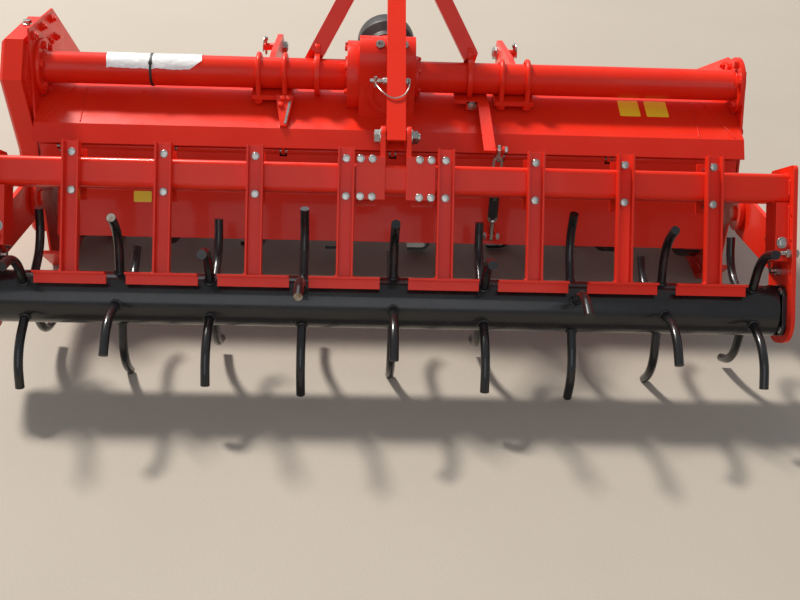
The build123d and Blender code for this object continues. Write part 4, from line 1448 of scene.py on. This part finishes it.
    def hub(self) -> None:
        """Makes the right bearing hub's flange and cap, and their bolts."""
        stock = Stock()
        stock.turned(seat(self.hub_outer_x - 0.5, *ROTOR_AXIS, RIGHT), self.hub_cap, sides=48)
        stock.turned(seat(self.plate_outer_x - 0.5, *ROTOR_AXIS, RIGHT), self.hub_flange, sides=56)
        stock.finish("hub_cap", Body.TILLER, PAINT)
        bolts = Stock()
        spots = rim(ROTOR_AXIS, self.hub_bolts_r, 6)
        HUB_BOLT.row(bolts, self.plate_outer_x + 8.5, spots, RIGHT, 14.0)
        bolts.finish("hub_bolts", Body.TILLER, ZINC)

    def welds(self) -> None:
        """Lays the stitched weld beads between the side plates and the skids."""
        stock = Stock()
        for hand in HANDS:
            for x in (self.plate_inner_x - 1.5, self.plate_outer_x + 1.5):
                start, end = (AXES.point(hand * x, *spot) for spot in self.skid_seam)
                for n in range(self.stitches):
                    ends = (start.lerp(end, n / self.stitches + way) for way in self.stitch)
                    stock.seam(*ends, self.skid_bead)
            inner = hand * (self.plate_inner_x - 14.0)
            stock.seam(*(AXES.point(inner, *spot) for spot in self.ear_seam), self.ear_bead)
        stock.finish("plate_welds", Body.TILLER, PAINT, sharp=WELD_SHARP)

    def pivots(self) -> None:
        """Makes the bolts on the roller frame's pivot pins."""
        nuts, heads = Stock(), Stock()
        for hand in HANDS:
            out = RIGHT * hand
            FRAME_PIVOT.add(nuts, AXES.point(hand * self.pivot_outer_x, *self.pivot), out, 9.0)
            inner = AXES.point(hand * self.pivot_inner_x, *self.pivot)
            FRAME_PIVOT_HEAD.add(heads, inner, -out, 22.0)
        nuts.finish("frame_pivot_nuts", Body.TILLER, ZINC)
        heads.finish("frame_pivot_heads", Body.TILLER, PAINT)

    def build(self) -> None:
        """Makes the details of both ends."""
        self.plate_bolts()
        self.case_cover()
        self.case_plug()
        self.hub()
        self.welds()
        self.pivots()


@dataclass
class HitchDetails:
    """Nuts, linch pins and bolts of the lower hitch, the chain's arm and the hood's bracket."""

    saddle_mid: float = 327.5
    bolt_half: float = 35.0
    saddle_under: float = 530.5
    saddle_rear: float = 526.0
    bolt_reach: float = 48.5
    pin: Pair = (985.0, 505.0)
    pin_hole_x: float = 377.5
    plate_inner_x: float = 325.5
    linch: Spots = ((3.6, 0.0), (3.6, 44.0), (2.2, 47.0))
    linch_head: Spots = ((6.5, -2.0), (6.5, 6.0), (4.5, 8.0))
    linch_top: float = 22.0
    ring_r: float = 21.0
    ring_up: float = 8.0
    ring_wire_r: float = 1.9
    tab: Pair = (166.0, 256.0)
    tab_z: float = 534.5
    tab_t: float = 8.0
    leg_x: float = 213.0
    leg_z: float = 528.0
    leg_size: Point = (30.0, 26.0, 6.0)
    arm_bolt_z: float = 529.0
    tab_edge: float = 0.8
    brace_end: Point = (206.0, 612.0, 640.0)
    brace_rise: Point = (-154.0, 134.0, 260.0)
    # Side of the machine and distance of each foot from its middle
    brace_feet: Spots = ((-1.0, 230.0), (1.0, 204.0))
    brace_foot: Pair = (640.0, 588.0)
    # Way up the brace from its end, half width and half thickness
    brace_sections: tuple[Point, ...] = ((20.0, 20.6, 11.4), (-6.0, 20.6, 11.0))
    bracket_x: float = -291.0
    bracket_foot: Pair = (441.0, 496.0)
    bracket_head: Pair = (526.0, 546.0)
    # Distance of each bolt from bracket_x, and its place along the machine
    bracket_spots: Spots = ((-5.0, 515.0), (11.0, 515.0), (-9.0, 497.0))
    # Half width, thickness and ends of the zinc strip laid along the bracket's edge as a painted
    # highlight
    strip_half: float = 3.0
    strip_t: float = 1.4
    strip: tuple[Point, Point] = ((-286.6, 446.0, 498.9), (-276.0, 512.0, 537.8))

    def u_bolt_nuts(self) -> None:
        """Makes the nuts under the saddles."""
        stock = Stock()
        y = TUBE_AXIS[0] - self.bolt_reach
        for hand, side in product(HANDS, HANDS):
            x = hand * self.saddle_mid + side * self.bolt_half
            U_BOLT_NUT.add(stock, AXES.point(x, y, self.saddle_under), -UP, 20.0 * side)
        stock.finish("u_bolt_nuts", Body.TILLER, PAINT)

    def linch_pins(self) -> None:
        """Makes the linch pins with their rings on the lower hitch pins."""
        stock = Stock()
        pin_y, pin_z = self.pin
        for hand in HANDS:
            x = hand * self.pin_hole_x
            top = pin_z + self.linch_top
            stock.turned(seat(x, pin_y, top, -UP), self.linch, sides=16)
            stock.turned(seat(x, pin_y, top, UP), self.linch_head, sides=20)
            ring = []
            for cosine, sine in circle(28):
                y, z = pin_y + self.ring_r * cosine, pin_z + self.ring_up + self.ring_r * sine
                ring.append(AXES.point(x + hand * (6.0 - 2.0 * sine), y, z))
            stock.rod(ring, self.ring_wire_r, closed=True)
        stock.finish("linch_pins", Body.TILLER, ZINC)

    def pin_nuts(self) -> None:
        """Makes the nuts of the lower hitch pins."""
        stock = Stock()
        for hand in HANDS:
            inner = AXES.point(hand * self.plate_inner_x, *self.pin)
            HITCH_NUT.add(stock, inner, -RIGHT * hand, 14.0)
        stock.finish("hitch_pin_nuts", Body.TILLER, ZINC)

    def arm_tab(self) -> None:
        """Makes the plate under the right tube that carries the chain's arm, with its bolt."""
        stock = Stock()
        (left, right), rear, tube_y = self.tab, self.saddle_rear, TUBE_AXIS[0]
        plate = seat((left + right) / 2, (rear + tube_y) / 2, self.tab_z, UP, RIGHT)
        stock.box(plate, (right - left, tube_y - rear, self.tab_t), self.tab_edge)
        leg = seat(self.leg_x, rear + self.leg_size[2], self.leg_z, -AHEAD, RIGHT)
        stock.box(leg, self.leg_size, self.tab_edge)
        stock.finish("arm_tab", Body.TILLER, PAINT)
        bolt = Stock()
        M10.add(bolt, AXES.point(self.leg_x, rear, self.arm_bolt_z), -AHEAD, 10.0)
        bolt.finish("arm_bolt", Body.TILLER, ZINC)

    def brace_ends(self) -> None:
        """Makes the flattened ends of the braces, down in front of the tubes."""
        stock = Stock()
        x, y, z = self.brace_end
        across, ahead, up = self.brace_rise
        for hand, foot_x in self.brace_feet:
            end = AXES.point(hand * x, y, z)
            rise = Vector((hand * across, ahead, up)).normalized()
            wide = (RIGHT - rise * rise.x).normalized()
            thick = rise.cross(wide).normalized()
            middles = [(end + rise * way * MILLIMETRE, w, t) for way, w, t in self.brace_sections]
            middles.append((AXES.point(hand * foot_x, *self.brace_foot), 20.0, 5.0))
            sections = []
            for point, half_width, half_thick in middles:
                side, deep = wide * half_width * MILLIMETRE, thick * half_thick * MILLIMETRE
                corners = (-side - deep, side - deep, side + deep, -side + deep)
                sections.append([point + corner for corner in corners])
            stock.skin(sections)
        stock.finish("brace_ends", Body.TILLER, PAINT)

    def bracket(self) -> None:
        """Makes the bolts on the hood's bracket, and the zinc strip along its edge that is a
        painted highlight of that edge.
        """
        (foot_y, foot_z), (head_y, head_z) = self.bracket_foot, self.bracket_head
        _, out = slope(self.bracket_foot, self.bracket_head)
        bolts = Stock()
        for aside, y in self.bracket_spots:
            z = foot_z + (head_z - foot_z) * (y - foot_y) / (head_y - foot_y)
            M8.add(bolts, AXES.point(self.bracket_x + aside, y, z), out, 20.0 + aside)
        bolts.finish("bracket_bolts", Body.TILLER, PAINT)
        # Painted highlight: a thin zinc strip along the bracket's edge
        strip = Stock()
        low, high = (AXES.point(*end) for end in self.strip)
        side = RIGHT * self.strip_half * MILLIMETRE
        corners = [low - side, low + side, high + side, high - side]
        strip.prism(corners, out * self.strip_t * MILLIMETRE, edge=0.3)
        strip.finish("bracket_edge_highlight", Body.TILLER, ZINC)

    def build(self) -> None:
        """Makes the hitch's hardware."""
        self.u_bolt_nuts()
        self.linch_pins()
        self.pin_nuts()
        self.arm_tab()
        self.brace_ends()
        self.bracket()


@dataclass
class ChainDetails:
    """The rubber sleeve on the chain and the bolts at both its ends."""

    x: float = 265.0
    y: float = 288.0
    sleeve_foot: float = 321.25
    sleeve: Spots = ((11.9, 0.0), (13.1, 0.8), (13.1, 66.95), (11.9, 67.75))
    turns: Pair = (10.0, 35.0)
    foot_z: float = 262.0
    top_z: float = 514.0
    eye_outer: float = 14.0

    def build(self) -> None:
        """Makes the sleeve and the bolts."""
        stock = Stock()
        stock.turned(seat(self.x, self.y, self.sleeve_foot, UP), self.sleeve, sides=40)
        stock.finish("chain_sleeve", Body.RIGHT_CHAIN, RUBBER)
        foot = Stock()
        for hand in HANDS:
            spot = AXES.point(self.x + hand * self.eye_outer, self.y, self.foot_z)
            EYE_BOLT.add(foot, spot, RIGHT * hand, self.turns[0])
        foot.finish("chain_foot_bolt", Body.BOARD, ZINC)
        head = Stock()
        top = AXES.point(self.x + self.eye_outer, self.y, self.top_z)
        EYE_BOLT.add(head, top, RIGHT, self.turns[1])
        head.finish("chain_top_bolt", Body.TILLER, ZINC)


@dataclass
class SheetDetails:
    """Seams of the hood, stickers, the wrapped film and its tie, and the board's bolts."""

    tube_r: float = 41.5
    wrap_from: float = -765.0
    wrap_to: float = -513.0
    wrap_t: float = 0.7
    wrap_gap: float = 1.6
    tie_x: float = -648.0
    tie_pinch: float = 9.0
    tie_head: Point = (9.0, 8.0, 6.0)
    tie_degrees: float = 135.0
    tie: Spots = ((41.8, 0.0), (44.0, 0.3), (44.0, 6.7), (41.8, 7.0))
    film_start: float = -25.0
    film_edge: float = 154.0
    film_cells: tuple[int, int] = (110, 44)
    fold: Pair = (441.0, 488.0)
    ridge: Pair = (596.0, 527.0)
    crease: Pair = (372.0, 330.0)
    board_foot: Pair = (308.0, 225.0)
    board_head: Pair = (414.5, 427.0)
    hood_stickers: Spots = ((622.0, 678.0), (695.0, 756.0))
    board_sticker: Pair = (-685.0, -638.0)
    sticker_round: float = 4.0
    sticker_t: float = 0.35
    seam_bead: float = 1.9
    board_half: float = 884.0
    board_end_width: float = 44.0
    board_end_height: float = 64.0
    board_end_t: float = 4.6
    board_bolt_x: float = 839.0
    board_bolt_up: float = 13.0
    strip_half: float = 938.0
    strip_y: float = 440.0
    strip_heights: Pair = (412.0, 478.0)
    strip_t: float = 3.0
    seam_runs: tuple[tuple[Point, Point], ...] = (
        ((862.0, 590.0, 526.2), (922.0, 446.0, 490.0)),
        ((832.0, 592.0, 526.6), (824.0, 446.0, 490.0)),
    )

    def sticker(self, name: str, edges: Spots, across: Pair, down: Pair, body: Body) -> None:
        """Lays one blank sticker with rounded corners on a sloping sheet.

        Args:
            name: Name of the piece.
            edges: Lower and upper edge of the sheet.
            across: Its left and right end.
            down: Its foot and its top, down the slope from the sheet's upper edge.
            body: Body that it rides on.
        """
        rise, out = slope(*edges)
        start = AXES.point(0.0, *edges[1])
        (left, right), (foot, top) = across, down
        places = ((left, foot), (right, foot), (right, top), (left, top))
        corners = [start + (RIGHT * x - rise * reach) * MILLIMETRE for x, reach in places]
        rounded = []
        for n, corner in enumerate(corners):
            before, after = corners[n - 1], corners[(n + 1) % 4]
            into = (before - corner).normalized() * self.sticker_round * MILLIMETRE
            away = (after - corner).normalized() * self.sticker_round * MILLIMETRE
            for t in (0.0, 0.25, 0.5, 0.75, 1.0):
                rounded.append(corner + into * (1 - t) ** 2 + away * t**2)
        lift = out * self.sticker_t * MILLIMETRE
        stock = Stock()
        stock.prism([point + lift * 0.2 for point in rounded], lift)
        stock.finish(name, body, STICKER)

    def stickers(self) -> None:
        """Lays the blank stickers on the hood and on the rear board."""
        hood, board = (self.fold, self.ridge), (self.board_foot, self.crease)
        for n, across in enumerate(self.hood_stickers):
            self.sticker(f"hood_sticker_{n + 1}", hood, across, (70.0, 2.0), Body.TILLER)
        self.sticker("board_sticker", board, self.board_sticker, (31.0, 2.0), Body.BOARD)

    def around(self, x: float, reach: float, angle: float) -> Vector:
        """Gives a point round the left tube."""
        y, z = TUBE_AXIS
        return AXES.point(x, y + reach * math.cos(angle), z + reach * math.sin(angle))

    def close(self, stock: Stock, ring: Vertices) -> None:
        """Closes one end of the film with quads between its two sides."""
        for k in range(len(ring) // 2 - 1):
            stock.mesh.faces.new((ring[k], ring[k + 1], ring[-k - 2], ring[-k - 1]))

    def wrap(self) -> None:
        """Lays the packing film over the tube's upper half, with creases along it."""
        stock = Stock()
        columns, rows = self.film_cells
        start = math.radians(self.film_start)
        before = None
        for n in range(columns + 1):
            share = n / columns
            x = self.wrap_from + (self.wrap_to - self.wrap_from) * share
            pinch = math.exp(-(((x - self.tie_x) / self.tie_pinch) ** 2))
            sag = 6.0 * ripple(x * 0.018, 7.0, 2.0) + 3.0 * ripple(x * 0.07, 1.0, 5.0)
            drawn_in = 34.0 * max(0.0, share - 0.88) / 0.12
            last = math.radians(self.film_edge + sag - drawn_in + 6.0 * pinch)
            outer, inner = [], []
            for k in range(rows + 1):
                angle = start + (last - start) * k / rows
                cosine, sine = math.cos(angle), math.sin(angle)
                crease = ripple(x * 0.02, cosine * 2.2, sine * 2.2)
                fine = ripple(x * 0.09, cosine * 7.0, sine * 7.0)
                lift = self.wrap_gap + (1.2 * crease + 0.6 * fine) * (1 - pinch) - 0.5 * pinch
                skew = 6.0 * ripple(angle, 3.0, 1.0) if n in (0, columns) else 0.0
                outer.append(self.around(x + skew, self.tube_r + lift, angle))
                under = max(0.15, lift - self.wrap_t)
                inner.append(self.around(x + skew, self.tube_r + under, angle))
            ring = stock.ring(outer + inner[::-1])
            if before is None:
                self.close(stock, ring)
            else:
                stock.bridge(before, ring)
            before = ring
        self.close(stock, before)
        stock.finish("packing_film", Body.TILLER, PAPER, sharp=60.0)

    def cable_tie(self) -> None:
        """Ties the film to the tube."""
        stock = Stock()
        stock.turned(seat(self.tie_x - 3.5, *TUBE_AXIS, RIGHT), self.tie, sides=64)
        top = self.around(self.tie_x, self.tube_r + 1.0, math.radians(self.tie_degrees))
        stock.box(stand(top, Vector((0.0, -1.0, 1.0)), RIGHT), self.tie_head, edge=1.0)
        stock.finish("cable_tie", Body.TILLER, PLASTIC)

    def seams(self) -> None:
        """Lays the seams of the hood's end panels."""
        stock = Stock()
        for hand, run in product(HANDS, self.seam_runs):
            start, end = (AXES.point(hand * x, y, z) for x, y, z in run)
            stock.seam(start, end, self.seam_bead, step=4.0)
        stock.finish("hood_seams", Body.TILLER, PAINT, sharp=WELD_SHARP)

    def board_bolts(self) -> None:
        """Makes the small bolts at the rear board's ends."""
        rise, out = slope(self.crease, self.board_head)
        stock = Stock()
        for hand in HANDS:
            crease = AXES.point(hand * self.board_bolt_x, *self.crease)
            M8.add(stock, crease + rise * self.board_bolt_up * MILLIMETRE, out, 10.0)
        stock.finish("board_bolts", Body.BOARD, ZINC)

    def hinge_strip(self) -> None:
        """Makes the strip inside the hood that closes the slot over the board's hinge."""
        stock = Stock()
        (low, high), half = self.strip_heights, self.strip_half
        spots = ((-half, low), (half, low), (half, high), (-half, high))
        outline = [AXES.point(x, self.strip_y, z) for x, z in spots]
        stock.prism(outline, AHEAD * self.strip_t * MILLIMETRE)
        stock.finish("hinge_strip", Body.TILLER, PAINT)

    def board_ends(self) -> None:
        """Makes the short plates that carry the board's upper edge on towards the side plates."""
        rise, out = slope(self.crease, self.board_head)
        up = rise * MILLIMETRE
        stock = Stock()
        for hand in HANDS:
            top = AXES.point(hand * self.board_half, *self.board_head) + up * 11.0
            wide = RIGHT * hand * self.board_end_width * MILLIMETRE
            low = top - up * self.board_end_height
            outline = [top, top + wide, low + wide + up * 14.0, low + wide * 0.7, low]
            stock.prism(outline, -out * self.board_end_t * MILLIMETRE, edge=0.6)
        stock.finish("board_ends", Body.BOARD, PAINT)

    def build(self) -> None:
        """Makes the small parts of the hood and the board."""
        self.stickers()
        self.wrap()
        self.cable_tie()
        self.seams()
        self.board_bolts()
        self.hinge_strip()
        self.board_ends()


@dataclass
class RotorDetails:
    """Bolts of the rotor's blades and welds of its flanges."""

    tube_r: float = 38.0
    flange_half: float = 5.0
    tine_t: float = 8.0
    pitch: float = 244.0
    flanges: int = 8
    blades: int = 6
    step: float = 11.0
    bolt_radii: Pair = (63.0, 83.0)
    bead: float = 3.2

    def build(self) -> None:
        """Makes the blade bolts, with their nuts, and the flange welds."""
        bolts, welds = Stock(), Stock()
        for n in range(self.flanges):
            x = (n - (self.flanges - 1) / 2) * self.pitch
            for hand in HANDS:
                face = x + hand * (self.flange_half + 0.5)
                place = seat(face, *ROTOR_AXIS, RIGHT * hand)
                welds.weld_ring(place, self.tube_r + 1.5, self.bead, step=3.5)
            centre = AXES.point(x, *ROTOR_AXIS)
            for b, (cosine, sine) in enumerate(circle(self.blades, n * self.step)):
                out = Vector((0.0, -sine, cosine))
                blade_side = -1.0 if b % 2 else 1.0
                for r, hand in product(self.bolt_radii, HANDS):
                    face = self.tine_t if hand == blade_side else self.flange_half
                    spot = centre + (out * r + RIGHT * hand * face) * MILLIMETRE
                    BLADE_BOLT.add(bolts, spot, RIGHT * hand, 21.0 * b)
        bolts.finish("blade_bolts", Body.ROTOR, BLACK)
        welds.finish("rotor_welds", Body.ROTOR, BLACK, sharp=WELD_SHARP)


@dataclass(frozen=True)
class Lamp:
    """A soft square lamp, with its place, aim and size in metres and its power in watts."""

    name: str
    place: Point
    aim: Point
    size: float
    power: float
    tone: Point

    def hang(self) -> None:
        """Hangs the lamp where it belongs, facing its aim."""
        data = bpy.data.lights.new(self.name, "AREA")
        data.shape = "SQUARE"
        data.size = self.size
        data.energy = self.power
        data.color = self.tone
        made = add_object(self.name, data)
        made.matrix_world = stand(Vector(self.place), Vector(self.place) - Vector(self.aim))


@dataclass
class Studio:
    """Floor, sky, lamps and the camera at the photograph's viewing angle."""

    lens: float = 50.69
    sensor: float = 36.0
    far: float = 100.0
    stand_at: Point = (-90.16, -2301.45, 1760.08)
    look: Point = (0.03916, 0.83416, -0.55013)
    right: Point = (0.99904, -0.02182, 0.03803)
    floor_half: float = 14.0
    floor_tone: Point = (0.431, 0.382, 0.323)
    floor_roughness: float = 0.85
    patch_share: float = 0.94
    speck_share: float = 0.8
    sky_tone: Point = (0.92, 0.95, 1.0)
    sky_strength: float = 0.4
    lamps: tuple[Lamp, ...] = (
        Lamp("key_lamp", (-6.3, 7.0, 12.0), (0.0, 0.0, 0.3), 1.8, 3000.0, (1.0, 0.95, 0.88)),
        Lamp("fill_lamp", (-0.6, -5.0, 3.2), (0.0, 0.0, 0.4), 4.0, 50.0, (0.95, 0.97, 1.0)),
        Lamp("sky_lamp", (-1.4, 6.2, 6.6), (0.0, 0.5, 0.5), 5.0, 120.0, (0.94, 0.97, 1.0)),
    )

    def ground(self) -> None:
        """Lays the pale floor."""
        stock = Stock()
        half = self.floor_half
        corners = ((-half, -half), (half, -half), (half, half), (-half, half))
        stock.mesh.faces.new(stock.ring(Vector((x, y, 0.0)) for x, y in corners))
        material = bpy.data.materials.new("pale_floor")
        book = NodeBook(material)
        low = tuple(self.patch_share * value for value in self.floor_tone)
        speck = tuple(self.speck_share * value for value in self.floor_tone)
        patch = book.spread(book.cloud(1.2, 5.0, 0.6), (0.0, 1.0))
        grit = book.spread(book.cloud(260.0, 3.0, 0.7), (0.0, 0.6), 0.45, 0.75)
        inputs = {
            "Base Color": book.blend(grit, book.blend(patch, self.floor_tone, low), speck),
            "Normal": book.bump(book.cloud(180.0, 4.0, 0.7), 0.4),
            "Roughness": self.floor_roughness,
        }
        book.feed(book.shader, inputs)
        stock.bake("floor", material)

    def light(self) -> None:
        """Sets the sky's plain light and the lamps."""
        world = bpy.data.worlds.new("studio")
        bpy.context.scene.world = world
        world.use_nodes = True
        background = world.node_tree.nodes["Background"]
        background.inputs["Color"].default_value = (*self.sky_tone, 1.0)
        background.inputs["Strength"].default_value = self.sky_strength
        for lamp in self.lamps:
            lamp.hang()

    def camera(self) -> None:
        """Sets the camera where the photograph was taken from."""
        data = bpy.data.cameras.new("photo_camera")
        data.sensor_width = self.sensor
        data.lens = self.lens
        data.clip_end = self.far
        made = add_object("photo_camera", data)
        back = -Vector(self.look).normalized()
        top = back.cross(Vector(self.right).normalized()).normalized()
        side = top.cross(back).normalized()
        turn = Matrix((side, top, back)).transposed().to_4x4()
        made.matrix_world = Matrix.Translation(AXES.point(*self.stand_at)) @ turn
        bpy.context.scene.camera = made

    def build(self) -> None:
        """Sets floor, lamps, camera and the plain view."""
        self.ground()
        self.light()
        self.camera()
        bpy.context.scene.view_settings.view_transform = "Standard"
        LOG.info("studio ready")


def main() -> None:
    """Builds every sub-assembly in order."""
    logging.basicConfig(level=logging.INFO, format="%(message)s")
    for part in (
        Castings(),
        RollerFrameDetails(),
        RollerDetails(),
        LinkDetails(),
        GearboxDetails(),
        SideDetails(),
        HitchDetails(),
        ChainDetails(),
        SheetDetails(),
        RotorDetails(),
        Studio(),
    ):
        part.build()


if __name__ == "__main__":
    main()
